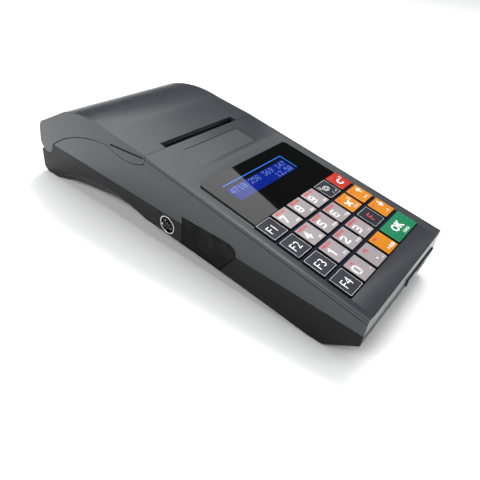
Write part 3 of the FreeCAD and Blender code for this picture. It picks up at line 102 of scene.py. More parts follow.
def set_light():
    scene = bpy.context.scene
    scene.view_settings.view_transform = "Standard"
    world = bpy.data.worlds.new("studio")
    world.use_nodes = True
    world.node_tree.nodes["Background"].inputs["Color"].default_value = (0.9, 0.94, 1.0, 1)
    world.node_tree.nodes["Background"].inputs["Strength"].default_value = 0.05
    scene.world = world
    # the right edge of the overhead box ends at X 0.715, and the window mirrors that edge
    softbox("overhead", (0.30, 0.0, 0.7), (0.30, 0.0, 0), 0.83, 2.4, 12.6)
    softbox("left", (-1.0, 0.5, 0.85), (0, 0, 0), 0.9, 0.9, 12.0)
    softbox("right_high", (1.9, 0.4, 3.2), (0.9, 0.2, 0), 1.0, 1.0, 70.0)


def set_floor():
    bm = bmesh.new()
    bmesh.ops.create_circle(bm, cap_ends=True, segments=64, radius=6)
    mesh = bpy.data.meshes.new("floor")
    bm.to_mesh(mesh)
    bm.free()
    floor = bpy.data.objects.new("floor", mesh)
    bpy.context.scene.collection.objects.link(floor)
    material, shader = new_material("floor_white")
    shader.inputs["Base Color"].default_value = (0.96, 0.96, 0.96, 1)
    shader.inputs["Roughness"].default_value = 0.9
    shader.inputs["Specular IOR Level"].default_value = 0.1
    mesh.materials.append(material)


# ------------------------------------------------------------------ shader groups
def new_group(name, inputs, outputs):
    group = bpy.data.node_groups.new(name, "ShaderNodeTree")
    for label, kind, value in inputs:
        socket = group.interface.new_socket(label, in_out="INPUT", socket_type=kind)
        socket.default_value = value
    for label, kind in outputs:
        group.interface.new_socket(label, in_out="OUTPUT", socket_type=kind)
    return group, group.nodes.new("NodeGroupInput"), group.nodes.new("NodeGroupOutput")


def add_node(tree, kind, links=None, **settings):
    """A node with its settings; links maps each input to a value or to another node's output."""
    node = tree.nodes.new(kind)
    for key, value in settings.items():
        setattr(node, key, value)
    for key, value in (links or {}).items():
        if isinstance(value, bpy.types.NodeSocket):
            tree.links.new(value, node.inputs[key])
        else:
            node.inputs[key].default_value = value
    return node


def moulded_grain():
    """Fine spark-eroded grain of moulded plastic: speckled colour, uneven gloss and tiny bumps."""
    tree, source, result = new_group("moulded_grain", [
        ("Colour", "NodeSocketColor", (0.05, 0.05, 0.05, 1)), ("Speckle", "NodeSocketFloat", 0.1),
        ("Size", "NodeSocketFloat", 2500.0), ("Roughness", "NodeSocketFloat", 0.45),
        ("Depth", "NodeSocketFloat", 0.2)],
        [("Colour", "NodeSocketColor"), ("Roughness", "NodeSocketFloat"), ("Normal", "NodeSocketVector")])
    place = add_node(tree, "ShaderNodeTexCoord")
    fine = add_node(tree, "ShaderNodeTexNoise", {"Vector": place.outputs["Object"],
                                                 "Scale": source.outputs["Size"], "Detail": 2.0})
    broad = add_node(tree, "ShaderNodeTexNoise", {"Vector": place.outputs["Object"], "Scale": 18.0,
                                                  "Detail": 3.0})
    both = add_node(tree, "ShaderNodeMath", {0: fine.outputs["Fac"], 1: broad.outputs["Fac"]},
                    operation="ADD")
    centred = add_node(tree, "ShaderNodeMath", {0: both.outputs[0], 1: 1.0}, operation="SUBTRACT")
    scaled = add_node(tree, "ShaderNodeMath", {0: centred.outputs[0], 1: source.outputs["Speckle"], 2: 1.0},
                      operation="MULTIPLY_ADD")
    tinted = add_node(tree, "ShaderNodeVectorMath", {0: source.outputs["Colour"]}, operation="SCALE")
    tree.links.new(scaled.outputs[0], tinted.inputs["Scale"])
    rough = add_node(tree, "ShaderNodeMath", {0: centred.outputs[0], 1: 0.12, 2: source.outputs["Roughness"]},
                     operation="MULTIPLY_ADD")
    bump = add_node(tree, "ShaderNodeBump", {"Strength": source.outputs["Depth"], "Distance": 0.00003,
                                             "Height": fine.outputs["Fac"]})
    tree.links.new(tinted.outputs[0], result.inputs["Colour"])
    tree.links.new(rough.outputs[0], result.inputs["Roughness"])
    tree.links.new(bump.outputs[0], result.inputs["Normal"])
    return tree


def handling_smudge():
    """Broad soft patches of finger grease that change only the gloss, on a plain colour."""
    tree, source, result = new_group("handling_smudge", [
        ("Colour", "NodeSocketColor", (0.5, 0.5, 0.5, 1)), ("Roughness", "NodeSocketFloat", 0.2),
        ("Amount", "NodeSocketFloat", 0.1)],
        [("Colour", "NodeSocketColor"), ("Roughness", "NodeSocketFloat")])
    place = add_node(tree, "ShaderNodeTexCoord")
    patch = add_node(tree, "ShaderNodeTexNoise", {"Vector": place.outputs["Object"], "Scale": 55.0,
                                                  "Detail": 4.0})
    clip = add_node(tree, "ShaderNodeMapRange", {"Value": patch.outputs["Fac"], "From Min": 0.4,
                                                 "From Max": 0.75})
    rough = add_node(tree, "ShaderNodeMath", {0: clip.outputs[0], 1: source.outputs["Amount"],
                                              2: source.outputs["Roughness"]}, operation="MULTIPLY_ADD")
    shade = add_node(tree, "ShaderNodeMath", {0: patch.outputs["Fac"], 1: 0.12, 2: 0.94},
                     operation="MULTIPLY_ADD")
    tinted = add_node(tree, "ShaderNodeVectorMath", {0: source.outputs["Colour"]}, operation="SCALE")
    tree.links.new(shade.outputs[0], tinted.inputs["Scale"])
    tree.links.new(tinted.outputs[0], result.inputs["Colour"])
    tree.links.new(rough.outputs[0], result.inputs["Roughness"])
    return tree


def brushed_lines():
    """Fine lines across X, for turned, drawn and brushed metal."""
    tree, source, result = new_group("brushed_lines", [
        ("Colour", "NodeSocketColor", (0.6, 0.6, 0.6, 1)), ("Roughness", "NodeSocketFloat", 0.3),
        ("Contrast", "NodeSocketFloat", 0.2)],
        [("Colour", "NodeSocketColor"), ("Roughness", "NodeSocketFloat")])
    place = add_node(tree, "ShaderNodeTexCoord")
    drawn = add_node(tree, "ShaderNodeMapping", {"Vector": place.outputs["Object"],
                                                 "Scale": (6000, 300, 300)})
    lines = add_node(tree, "ShaderNodeTexNoise", {"Vector": drawn.outputs[0], "Scale": 1.0, "Detail": 2.0})
    rough = add_node(tree, "ShaderNodeMath", {0: lines.outputs["Fac"], 1: source.outputs["Contrast"],
                                              2: source.outputs["Roughness"]}, operation="MULTIPLY_ADD")
    shade = add_node(tree, "ShaderNodeMath", {0: lines.outputs["Fac"], 1: source.outputs["Contrast"], 2: 0.9},
                     operation="MULTIPLY_ADD")
    tinted = add_node(tree, "ShaderNodeVectorMath", {0: source.outputs["Colour"]}, operation="SCALE")
    tree.links.new(shade.outputs[0], tinted.inputs["Scale"])
    tree.links.new(tinted.outputs[0], result.inputs["Colour"])
    tree.links.new(rough.outputs[0], result.inputs["Roughness"])
    return tree


# ------------------------------------------------------------------ materials
def new_material(name):
    material = bpy.data.materials.new(name)
    material.use_nodes = True
    return material, material.node_tree.nodes["Principled BSDF"]


def grained(name, colour, roughness, speckle=0.1, size=2500.0, depth=0.2, **shader_values):
    material, shader = new_material(name)
    group = add_node(material.node_tree, "ShaderNodeGroup", node_tree=GRAIN)
    for key, value in (("Colour", (*colour, 1)), ("Roughness", roughness), ("Speckle", speckle),
                       ("Size", size), ("Depth", depth)):
        group.inputs[key].default_value = value
    material.node_tree.links.new(group.outputs["Colour"], shader.inputs["Base Color"])
    material.node_tree.links.new(group.outputs["Roughness"], shader.inputs["Roughness"])
    material.node_tree.links.new(group.outputs["Normal"], shader.inputs["Normal"])
    for key, value in shader_values.items():
        shader.inputs[key.replace("_", " ")].default_value = value
    return material


def smooth_finish(name, colour, roughness, smudge=0.08, **shader_values):
    material, shader = new_material(name)
    group = add_node(material.node_tree, "ShaderNodeGroup", node_tree=SMUDGE)
    group.inputs["Colour"].default_value = (*colour, 1)
    group.inputs["Roughness"].default_value = roughness
    group.inputs["Amount"].default_value = smudge
    material.node_tree.links.new(group.outputs["Colour"], shader.inputs["Base Color"])
    material.node_tree.links.new(group.outputs["Roughness"], shader.inputs["Roughness"])
    for key, value in shader_values.items():
        shader.inputs[key.replace("_", " ")].default_value = value
    return material


def metal(name, colour, roughness, contrast=0.2):
    material, shader = new_material(name)
    group = add_node(material.node_tree, "ShaderNodeGroup", node_tree=LINES)
    group.inputs["Colour"].default_value = (*colour, 1)
    group.inputs["Roughness"].default_value = roughness
    group.inputs["Contrast"].default_value = contrast
    material.node_tree.links.new(group.outputs["Colour"], shader.inputs["Base Color"])
    material.node_tree.links.new(group.outputs["Roughness"], shader.inputs["Roughness"])
    shader.inputs["Metallic"].default_value = 1.0
    return material


def glowing(name, colour, strength):
    """A lit print under gloss, with a little unevenness of the light behind it."""
    material, shader = new_material(name)
    tree = material.node_tree
    place = add_node(tree, "ShaderNodeTexCoord")
    cloud = add_node(tree, "ShaderNodeTexNoise", {"Vector": place.outputs["Object"], "Scale": 60.0})
    shade = add_node(tree, "ShaderNodeMath", {0: cloud.outputs["Fac"], 1: 0.25, 2: 0.88},
                     operation="MULTIPLY_ADD")
    tinted = add_node(tree, "ShaderNodeVectorMath", {0: colour}, operation="SCALE")
    tree.links.new(shade.outputs[0], tinted.inputs["Scale"])
    tree.links.new(tinted.outputs[0], shader.inputs["Emission Color"])
    shader.inputs["Base Color"].default_value = (0.002, 0.002, 0.004, 1)
    shader.inputs["Emission Strength"].default_value = strength
    shader.inputs["Roughness"].default_value = 0.02
    return material


def paper_material():
    """Thermal paper: faint winding lines round the roll."""
    material, shader = new_material("thermal_paper")
    tree = material.node_tree
    place = add_node(tree, "ShaderNodeTexCoord")
    low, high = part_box("paper_roll")
    middle = (low + high) / 2
    centred = add_node(tree, "ShaderNodeMapping", {"Vector": place.outputs["Object"], "Location": -middle})
    rings = add_node(tree, "ShaderNodeTexWave", {"Vector": centred.outputs[0], "Scale": 900.0,
                                                 "Distortion": 1.5},
                     wave_type="RINGS", rings_direction="X")
    shade = add_node(tree, "ShaderNodeMixRGB", {"Fac": rings.outputs["Fac"], "Color1": (0.80, 0.79, 0.76, 1),
                                                "Color2": (0.9, 0.895, 0.88, 1)})
    tree.links.new(shade.outputs[0], shader.inputs["Base Color"])
    shader.inputs["Roughness"].default_value = 0.6
    return material


def worn_rubber():
    """Black rubber with pale chalky rub marks."""
    material, shader = new_material("port_rubber")
    tree = material.node_tree
    place = add_node(tree, "ShaderNodeTexCoord")
    patches = add_node(tree, "ShaderNodeTexNoise", {"Vector": place.outputs["Object"], "Scale": 260.0,
                                                    "Detail": 6.0, "Roughness": 0.7})
    wide = add_node(tree, "ShaderNodeTexNoise", {"Vector": place.outputs["Object"], "Scale": 70.0,
                                                 "Detail": 3.0})
    product = add_node(tree, "ShaderNodeMath", {0: patches.outputs["Fac"], 1: wide.outputs["Fac"]},
                       operation="MULTIPLY")
    mask = add_node(tree, "ShaderNodeMapRange", {"Value": product.outputs[0], "From Min": 0.22,
                                                 "From Max": 0.42})
    colour = add_node(tree, "ShaderNodeMixRGB", {"Fac": mask.outputs[0], "Color1": (0.003, 0.003, 0.003, 1),
                                                 "Color2": (0.018, 0.018, 0.018, 1)})
    tree.links.new(colour.outputs[0], shader.inputs["Base Color"])
    bump = add_node(tree, "ShaderNodeBump", {"Strength": 0.35, "Distance": 0.0001,
                                             "Height": patches.outputs["Fac"]})
    tree.links.new(bump.outputs[0], shader.inputs["Normal"])
    shader.inputs["Roughness"].default_value = 0.75
    shader.inputs["Specular IOR Level"].default_value = 0.15
    return material


def circuit_board():
    """Green solder mask with paler tracks on a fine grid."""
    material, shader = new_material("circuit_board")
    tree = material.node_tree
    place = add_node(tree, "ShaderNodeTexCoord")
    grid = add_node(tree, "ShaderNodeTexBrick", {"Vector": place.outputs["Object"], "Scale": 90.0,
                                                 "Color1": (0.012, 0.13, 0.04, 1),
                                                 "Color2": (0.01, 0.09, 0.03, 1),
                                                 "Mortar": (0.03, 0.22, 0.08, 1), "Mortar Size": 0.02})
    tree.links.new(grid.outputs["Color"], shader.inputs["Base Color"])
    shader.inputs["Roughness"].default_value = 0.3
    return material


def make_materials():
    return {
        "case_black": grained("case_black", (0.004, 0.004, 0.005), 0.45, 0.25, 2200.0, 0.3,
                              Specular_IOR_Level=0.2),
        "case_charcoal": grained("case_charcoal", (0.029, 0.031, 0.038), 0.22, 0.16, 2200.0, 0.22),
        "lid_charcoal": grained("lid_charcoal", (0.031, 0.033, 0.041), 0.26, 0.16, 2200.0, 0.22),
        "window": smooth_finish("window_black", (0.002, 0.002, 0.002), 0.02, 0.02),
        "plate": grained("plate_satin", (0.030, 0.031, 0.035), 0.3, 0.08, 3000.0, 0.1),
        "mat": grained("mat_navy", (0.003, 0.006, 0.017), 0.65, 0.1, 1500.0, 0.1,
                       Specular_IOR_Level=0.12),
        "circuit_board": circuit_board(),
        "spring_steel": metal("spring_steel", (0.55, 0.55, 0.55), 0.28),
        "bright_steel": metal("bright_steel", (0.62, 0.62, 0.64), 0.22),
        "chrome": metal("ring_chrome", (0.86, 0.86, 0.87), 0.06, 0.05),
        "contacts": metal("contact_plating", (0.85, 0.82, 0.75), 0.12, 0.1),
        "rubber": grained("rubber_black", (0.012, 0.012, 0.012), 0.7, 0.2, 1200.0, 0.3),
        "port_rubber": worn_rubber(),
        "black_plastic": grained("plastic_black", (0.008, 0.008, 0.009), 0.4, 0.15, 2200.0, 0.15),
        "sleeve": smooth_finish("battery_sleeve", (0.02, 0.07, 0.25), 0.25, 0.1),
        "paper": paper_material(),
        "card": grained("core_card", (0.30, 0.22, 0.14), 0.8, 0.3, 900.0, 0.3),
        "aluminium": metal("head_aluminium", (0.75, 0.75, 0.76), 0.35),
        "gear_plastic": grained("gear_acetal", (0.74, 0.73, 0.69), 0.4, 0.05, 1500.0, 0.05),
        "brass_gear": metal("turned_brass", (0.72, 0.52, 0.22), 0.25),
        "lcd": grained("panel_frame", (0.004, 0.004, 0.006), 0.4, 0.1, 1500.0, 0.1),
        "key_grey": grained("key_grey", (0.245, 0.215, 0.225), 0.42, 0.08, 1800.0, 0.12),
        "key_slate": grained("key_slate", (0.011, 0.013, 0.023), 0.5, 0.03, 1800.0, 0.03,
                            Specular_IOR_Level=0.2),
        "key_navy": grained("key_navy", (0.004, 0.006, 0.014), 0.5, 0.03, 1800.0, 0.03,
                            Specular_IOR_Level=0.2),
        "key_red": grained("key_red", (0.43, 0.014, 0.001), 0.25, 0.06, 1800.0, 0.1),
        "key_orange": grained("key_orange", (0.58, 0.195, 0.002), 0.25, 0.06, 1800.0, 0.1),
        "key_green": grained("key_green", (0.008, 0.185, 0.08), 0.25, 0.06, 1800.0, 0.1),
        # near-black for the walls of every key, whatever the key's colour: painted shade on the key walls
        "key_wall_painted_shade": grained("key_wall_painted_shade", (0.006, 0.006, 0.009), 0.4, 0.1, 1800.0, 0.1),
        "print_white": smooth_finish("print_white", (0.83, 0.83, 0.83), 0.45, 0.08),
        "print_red": smooth_finish("print_red", (0.50, 0.015, 0.02), 0.45, 0.08),
        "lcd_blue": glowing("lcd_blue", (0.001, 0.017, 0.28), 1.0),
        "lcd_dots": glowing("lcd_dots", (0.18, 0.30, 0.75), 1.0),
        "lcd_line": glowing("lcd_line", (0.03, 0.19, 0.85), 1.2),
    }


# ------------------------------------------------------------------ making pieces
def finished(name, bm, body, materials, smooth=True, sharp=SHARP_ANGLE):
    """Turns a bmesh into a piece that rides on a body."""
    mesh = bpy.data.meshes.new(name)
    bm.to_mesh(mesh)
    bm.free()
    for material in materials:
        mesh.materials.append(FINISH[material])
    if smooth:
        mesh.polygons.foreach_set("use_smooth", [True] * len(mesh.polygons))
        mesh.set_sharp_from_angle(angle=math.radians(sharp))
    piece = bpy.data.objects.new(name, mesh)
    bpy.context.scene.collection.objects.link(piece)
    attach(piece, body)
    return piece


def merged_copy(node):
    """The node's surface as one closed bmesh with its flat faces joined."""
    bm = bmesh.new()
    bm.from_mesh(frame["nodes"][node].data)
    bmesh.ops.remove_doubles(bm, verts=bm.verts, dist=0.002 * MM)
    bmesh.ops.dissolve_limit(bm, angle_limit=math.radians(0.6), verts=bm.verts, edges=bm.edges)
    bmesh.ops.recalc_face_normals(bm, faces=bm.faces)
    return bm


def soften(piece, width, segments=2):
    """Rounds a piece's sharp edges to a radius in mm."""
    bevel = piece.modifiers.new("edges", "BEVEL")
    bevel.width = width * MM
    bevel.segments = segments
    bevel.limit_method = "ANGLE"
    bevel.angle_limit = math.radians(SHARP_ANGLE)
    bevel.harden_normals = True
    bevel.use_clamp_overlap = True


def rounded_node(node, width=0.25, segments=2, material=None):
    """A copy of a CAD node with rounded edges, standing for that node."""
    bm = merged_copy(node)
    slot_name = SLOT_OF[node]
    piece = finished(node + "_shell", bm, BODY_OF[node], [material or slot_name])
    soften(piece, width, segments)
    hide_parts(node)


def on_side_wall(vert):
    return abs(abs(vert.co.x) - CASE_HALF_WIDTH * MM) < 0.01 * MM


def side_top_edges(bm):
    """The edges between a side wall and a face that looks up, but not those under the lid."""
    back = DECK.inverted()
    return [edge for edge in bm.edges if all(on_side_wall(vert) for vert in edge.verts)
            and edge.is_manifold and edge.calc_face_angle(0) > math.radians(35)
            and max(face.normal.z for face in edge.link_faces) > 0.3
            and all((back @ vert.co).z > -0.05 * MM or vert.co.y > LID_SIDE_START * MM
                    for vert in edge.verts)]


def bevelled(bm, edges, width, segments=1):
    return bmesh.ops.bevel(bm, geom=edges, offset=width * MM, offset_type="OFFSET", segments=segments,
                           profile=0.5, affect="EDGES", material=-1, clamp_overlap=True)["faces"]


def creased_shell(node, down, across, width=0.22):
    """A shell chamfered along its upper side edges: down the wall and across the top, in mm.

    Its other sharp edges are rounded, and the deck's shell has a thin crease below the chamfer."""
    bm = merged_copy(node)
    bm.normal_update()
    chamfer = bevelled(bm, side_top_edges(bm), down)
    limit = (CASE_HALF_WIDTH - down + 0.02) * MM
    for vert in {vert for face in chamfer for vert in face.verts}:
        if abs(vert.co.x) < limit:
            vert.co.x = math.copysign((CASE_HALF_WIDTH - across) * MM, vert.co.x)
    if node == "upper_case":
        slope_recess(bm)
    bm.normal_update()
    sharp = [edge for edge in bm.edges
             if edge.is_manifold and edge.calc_face_angle(0) > math.radians(SHARP_ANGLE)]
    bevelled(bm, sharp, width, 3)
    if node == "upper_case":
        side_crease(bm, CREASE_LEVEL, CREASE_WIDTH, CREASE_DEPTH)
        bm.normal_update()
        for face in bm.faces:
            centre = face.calc_center_median()
            # the lips under the lid's side seams are given the black plastic finish: painted shade in the
            # seam gap
            if abs(centre.x) > LIP_INNER_EDGE * MM and centre.y > LIP_FRONT * MM and face.normal.z > 0.5:
                face.material_index = 1
    bmesh.ops.recalc_face_normals(bm, faces=bm.faces)
    slot_name = SLOT_OF[node]
    # the second finish, black plastic, is the painted seam shade on those lips
    piece = finished(node + "_shell", bm, BODY_OF[node], [slot_name, "black_plastic"], sharp=12)
    piece.modifiers.new("shading", "WEIGHTED_NORMAL").keep_sharp = True
    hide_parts(node)


def side_crease(bm, out, width, depth):
    """Cuts a thin groove along both side walls, a little below the deck."""
    back = DECK.inverted()
    normal = DECK.to_3x3() @ Vector((0, 0, 1))
    for level in (out, out - width):
        wall = [face for face in bm.faces if all(on_side_wall(vert) for vert in face.verts)]
        edges = {edge for face in wall for edge in face.edges}
        verts = {vert for face in wall for vert in face.verts}
        bmesh.ops.bisect_plane(bm, geom=[*wall, *edges, *verts], plane_no=normal,
                               plane_co=DECK @ Vector((0, 0, level * MM)), dist=0.0005 * MM)
    strip = [face for face in bm.faces if all(on_side_wall(vert) for vert in face.verts)
             and (out - width) * MM < (back @ face.calc_center_median()).z < out * MM]
    bmesh.ops.inset_region(bm, faces=strip, thickness=0.03 * MM, depth=-depth * MM, use_boundary=True)


def slope_recess(bm):
    """Lets the recess's side and rear walls slope gently down to its floor."""
    back = DECK.inverted()
    for vert in bm.verts:
        place = (back @ vert.co) / MM
        floor = abs(place.z + RECESS_DEPTH) < 0.02
        top = abs(place.z) < 0.02
        if abs(place.y - RECESS_REAR) < 0.02 and abs(place.x) < RECESS_HALF_WIDTH + 0.1 and (floor or top):
            place.y = RECESS_SLOPE_FOOT if floor else RECESS_SLOPE_TOP
        if floor and abs(abs(place.x) - RECESS_HALF_WIDTH) < 0.02:
            place.x = math.copysign(RECESS_FLOOR_HALF_WIDTH, place.x)
        vert.co = DECK @ (place * MM)


def build_shells():
    rounded_node("lower_case", 0.35)
    creased_shell("upper_case", 1.05, 2.15)
    creased_shell("printer_cover", 0.9, 0.9)
    rounded_node("name_plate", 0.15)
    rounded_node("keypad_mat", 0.12)
    rounded_node("port_cover", 0.45, 3, material="port_rubber")
    rounded_node("front_cover", 0.2, material="case_charcoal")
    rounded_node("battery_hatch", 0.25)
    rounded_node("power_socket_ring", 0.16, 3)
    rounded_node("power_socket", 0.15)
    rounded_node("power_socket_pins", 0.2)
    rounded_node("usb_port", 0.12)
    rounded_node("drawer_port", 0.2)
    rounded_node("case_screws", 0.15)
    rounded_node("rubber_feet", 0.3)
    rounded_node("tear_bar", 0.06)
    rounded_node("paper_tray", 0.25)
    rounded_node("printer_frame", 0.15)
    rounded_node("print_head", 0.2)


def plain_nodes():
    """CAD nodes whose own shape is shown, with their finish."""
    for node, slot_name in SLOT_OF.items():
        data = frame["nodes"][node].data
        data.materials.clear()
        data.materials.append(FINISH[slot_name])


# ------------------------------------------------------------------ keys and their prints
KEYS = ("f1", "7", "8", "9", "operator", "clear", "f2", "4", "5", "6", "multiply", "up",
        "f3", "1", "2", "3", "shift", "down", "f4", "0", "point", "total", "ok")
ROUND = [(0.2, 0), (0.8, 0), (1, 0.15), (1, 0.85), (0.8, 1), (0.2, 1), (0, 0.85), (0, 0.15), (0.2, 0)]
STROKES = {
    "0": [ROUND], "1": [[(0.25, 0.8), (0.65, 1), (0.65, 0)]],
    "2": [[(0, 0.95), (0.2, 1), (0.85, 1), (1, 0.85), (1, 0.65), (0, 0.15), (0, 0), (1, 0)]],
    "3": [[(0, 1), (0.8, 1), (1, 0.85), (1, 0.6), (0.85, 0.5), (1, 0.4), (1, 0.15), (0.8, 0), (0, 0)],
          [(0.3, 0.5), (0.85, 0.5)]],
    "4": [[(0.7, 0), (0.7, 1), (0, 0.3), (1.05, 0.3)]],
    "5": [[(1, 1), (0, 1), (0, 0.55), (0.8, 0.55), (1, 0.42), (1, 0.15), (0.8, 0), (0, 0)]],
    "6": [[(0.95, 1), (0.2, 1), (0, 0.85), (0, 0.15), (0.2, 0), (0.8, 0), (1, 0.15), (1, 0.4), (0.85, 0.52),
           (0, 0.52)]],
    "7": [[(0, 1), (1, 1), (0.35, 0)]], "8": [ROUND, [(0.1, 0.5), (0.9, 0.5)]],
    "9": [[(0.05, 0), (0.8, 0), (1, 0.15), (1, 0.85), (0.8, 1), (0.2, 1), (0, 0.85), (0, 0.6), (0.15, 0.48),
           (1, 0.48)]],
    "X": [[(0, 0.1), (1, 0.9)], [(0, 0.9), (1, 0.1)]],
    "F": [[(0, 0), (0, 1), (1, 1)], [(0, 0.5), (0.8, 0.5)]],
    ".": [[(0.45, 0), (0.55, 0)]], "up": [[(0.5, 0), (0.5, 1)], [(0, 0.55), (0.5, 1), (1, 0.55)]],
    "down": [[(0.5, 1), (0.5, 0)], [(0, 0.45), (0.5, 0), (1, 0.45)]],
}
PRINT_HEIGHT = 0.05
# the material places of a print
WHITE, RED = 0, 1
# the flange under a key is wider than its top by this much all round, in mm
KEY_FLANGE = 0.5


def bar(bm, start, end, thickness, material):
    """A thin raised bar between two points of a key's top, in mm."""
    start, end = Vector(start), Vector(end)
    run = end - start
    turn = Matrix.Rotation(math.atan2(run.y, run.x), 4, "Z")
    middle = (start + end) / 2
    size = Matrix.Diagonal((run.length + thickness, thickness, 2 * PRINT_HEIGHT, 1))
    made = bmesh.ops.create_cube(bm, size=1, matrix=Matrix.Translation((middle.x, middle.y, 0)) @ turn @ size)
    for face in {face for vert in made["verts"] for face in vert.link_faces}:
        face.material_index = material


def stroke_sign(bm, sign, x, y, width, height, thickness, material):
    """A sign of straight strokes with its lower left corner at (x, y)."""
    for line in STROKES[sign]:
        points = [(x + px * width, y + py * height) for px, py in line]
        for start, end in zip(points, points[1:]):
            bar(bm, start, end, thickness, material)


def small_print(bm, words, x, y, size, material, weight=0.0):
    """A line of small type with its lower left corner at (x, y)."""
    curve = bpy.data.curves.new("type", "FONT")
    curve.body = words
    curve.size = size
    curve.extrude = PRINT_HEIGHT
    curve.offset = weight
    curve.resolution_u = 2
    carrier = bpy.data.objects.new("type", curve)
    mesh = bpy.data.meshes.new_from_object(carrier)
    mesh.transform(Matrix.Translation((x, y, 0)))
    first = len(bm.faces)
    bm.from_mesh(mesh)
    bm.faces.ensure_lookup_table()
    for face in bm.faces[first:]:
        face.material_index = material
    bpy.data.objects.remove(carrier)
    bpy.data.curves.remove(curve)
    bpy.data.meshes.remove(mesh)


LETTERS = {"7": "ABC", "8": "DEF", "9": "GHI", "4": "JKL", "5": "MNO", "6": "PQR", "1": "STU", "2": "VWX",
           "3": "YZ"}


def frame_print(bm, x0, y0, x1, y1, thickness):
    """A white rectangle of thin lines."""
    corners = [(x0, y0), (x1, y0), (x1, y1), (x0, y1)]
    for start, end in zip(corners, corners[1:] + corners[:1]):
        bar(bm, start, end, thickness, WHITE)


def outline_print(bm, width, depth, inset=0.32, thickness=0.12):
    """A thin line just inside the key's edge."""
    frame_print(bm, inset, inset, width - inset, depth - inset, thickness)


def operator_print(bm, width, depth):
    """Two rings and two short strokes inside an outline."""
    outline_print(bm, width, depth)
    for radius in (2.3, 1.2):
        ring = [(5.2 + radius * math.cos(turn * math.pi / 6),
                 6.6 + 0.75 * radius * math.sin(turn * math.pi / 6)) for turn in range(13)]
        for start, end in zip(ring, ring[1:]):
            bar(bm, start, end, 0.35, WHITE)
    bar(bm, (1.6, 9.6), (2.6, 8.6), 0.4, WHITE)
    bar(bm, (1.4, 8.2), (2.2, 7.6), 0.4, WHITE)
    small_print(bm, "1 - 9", 5.4, 1.4, 2.2, WHITE)


def key_print(bm, name, width, depth):
    """The prints on one key, drawn from its front left corner in mm."""
    if name in LETTERS:
        stroke_sign(bm, name, 1.8, 3.8, 2.9, 4.2, 0.95, WHITE)
        small_print(bm, "000" + str(100 + int(name)), 1.2, depth - 2.4, 2.5, RED, 0.09)
        small_print(bm, LETTERS[name], 7.0, 1.0, 2.0, WHITE)
    if name in ("0", "point"):
        small_print(bm, "-%" if name == "0" else "+%", 2.6, depth - 3.4, 2.9, RED, 0.1)
    if name == "0":
        stroke_sign(bm, "0", 1.5, 3.9, 3.2, 4.3, 1.0, WHITE)
        bar(bm, (9.3, 2.3), (9.9, 2.3), 0.35, WHITE)
    if name == "point":
        stroke_sign(bm, ".", 5.2, 3.0, 1.0, 1.0, 0.8, WHITE)
        small_print(bm, ". , :", 7.4, 1.3, 2.4, WHITE, 0.05)
    if name[0] == "f" and name[1:].isdigit():
        outline_print(bm, width, depth)
        small_print(bm, name.upper(), 1.9, 3.2, 6.8, WHITE, -0.07)
    if name == "operator":
        operator_print(bm, width, depth)
    if name == "shift":
        outline_print(bm, width, depth)
        stroke_sign(bm, "F", 4.6, 3.6, 2.3, 4.3, 0.75, RED)
    if name == "clear":
        small_print(bm, "C", 3.2, 3.2, 5.6, WHITE, 0.2)
        small_print(bm, "0.00", 1.2, depth - 2.5, 2.2, RED, 0.05)
        outline_mark(bm, 8.2, 6.6)
    if name == "multiply":
        stroke_sign(bm, "X", 3.4, 3.8, 3.0, 3.2, 1.1, WHITE)
        small_print(bm, "00", 1.2, depth - 2.5, 2.2, RED, 0.05)
        small_print(bm, "1 X 1", 4.4, 1.0, 2.2, WHITE, 0.03)
        outline_mark(bm, 8.0, 7.0)
    if name in ("up", "down"):
        stroke_sign(bm, name, 6.6, 6.0, 2.8, 3.8, 0.75, WHITE)
        small_print(bm, "01" if name == "up" else "02", 1.4, depth - 3.2, 2.2, RED, 0.05)
        small_print(bm, "+ 1" if name == "up" else "- 1", 4.6, 1.3, 2.9, WHITE, 0.06)
    if name == "total":
        small_print(bm, "100", 1.4, depth - 2.8, 2.4, RED, 0.06)
        small_print(bm, "= 0.00", 3.4, 1.2, 2.7, WHITE, 0.06)
    if name == "ok":
        small_print(bm, "OK", 6.2, 4.4, 6.4, WHITE, 0.22)
        small_print(bm, "123456", 9.6, 1.2, 2.3, WHITE, 0.02)


def outline_mark(bm, x, y):
    """A small empty box, as a generic sign beside a key's main sign."""
    frame_print(bm, x, y, x + 1.5, y + 1.5, 0.3)


def deck_corners(node):
    """A node's lowest and highest corner in the deck frame, in metres."""
    back = DECK.inverted()
    points = [back @ vert.co for vert in frame["nodes"][node].data.vertices]
    return (Vector([min(point[axis] for point in points) for axis in range(3)]),
            Vector([max(point[axis] for point in points) for axis in range(3)]))


def build_keys():
    up = DECK.to_3x3() @ Vector((0, 0, 1))
    for name in KEYS:
        node = "key_" + name
        body = BODY_OF[node]
        bm = merged_copy(node)
        bm.normal_update()
        # faces that do not look up take the second finish, the near-black key wall: painted shade
        for face in bm.faces:
            face.material_index = 0 if face.normal.dot(up) > 0.9 else 1
        cap = finished(node + "_cap", bm, body, [SLOT_OF[node], "key_wall_painted_shade"])
        soften(cap, 0.28, 3)
        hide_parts(node)
        low, high = deck_corners(node)
        width = (high.x - low.x) / MM - 2 * KEY_FLANGE
        depth = (high.y - low.y) / MM - 2 * KEY_FLANGE
        bm = bmesh.new()
        key_print(bm, name, width, depth)
        corner = Matrix.Translation((low.x + KEY_FLANGE * MM, low.y + KEY_FLANGE * MM, high.z))
        bm.transform(DECK @ corner @ Matrix.Scale(MM, 4))
        finished(node + "_print", bm, body, ["print_white", "print_red"], smooth=False)


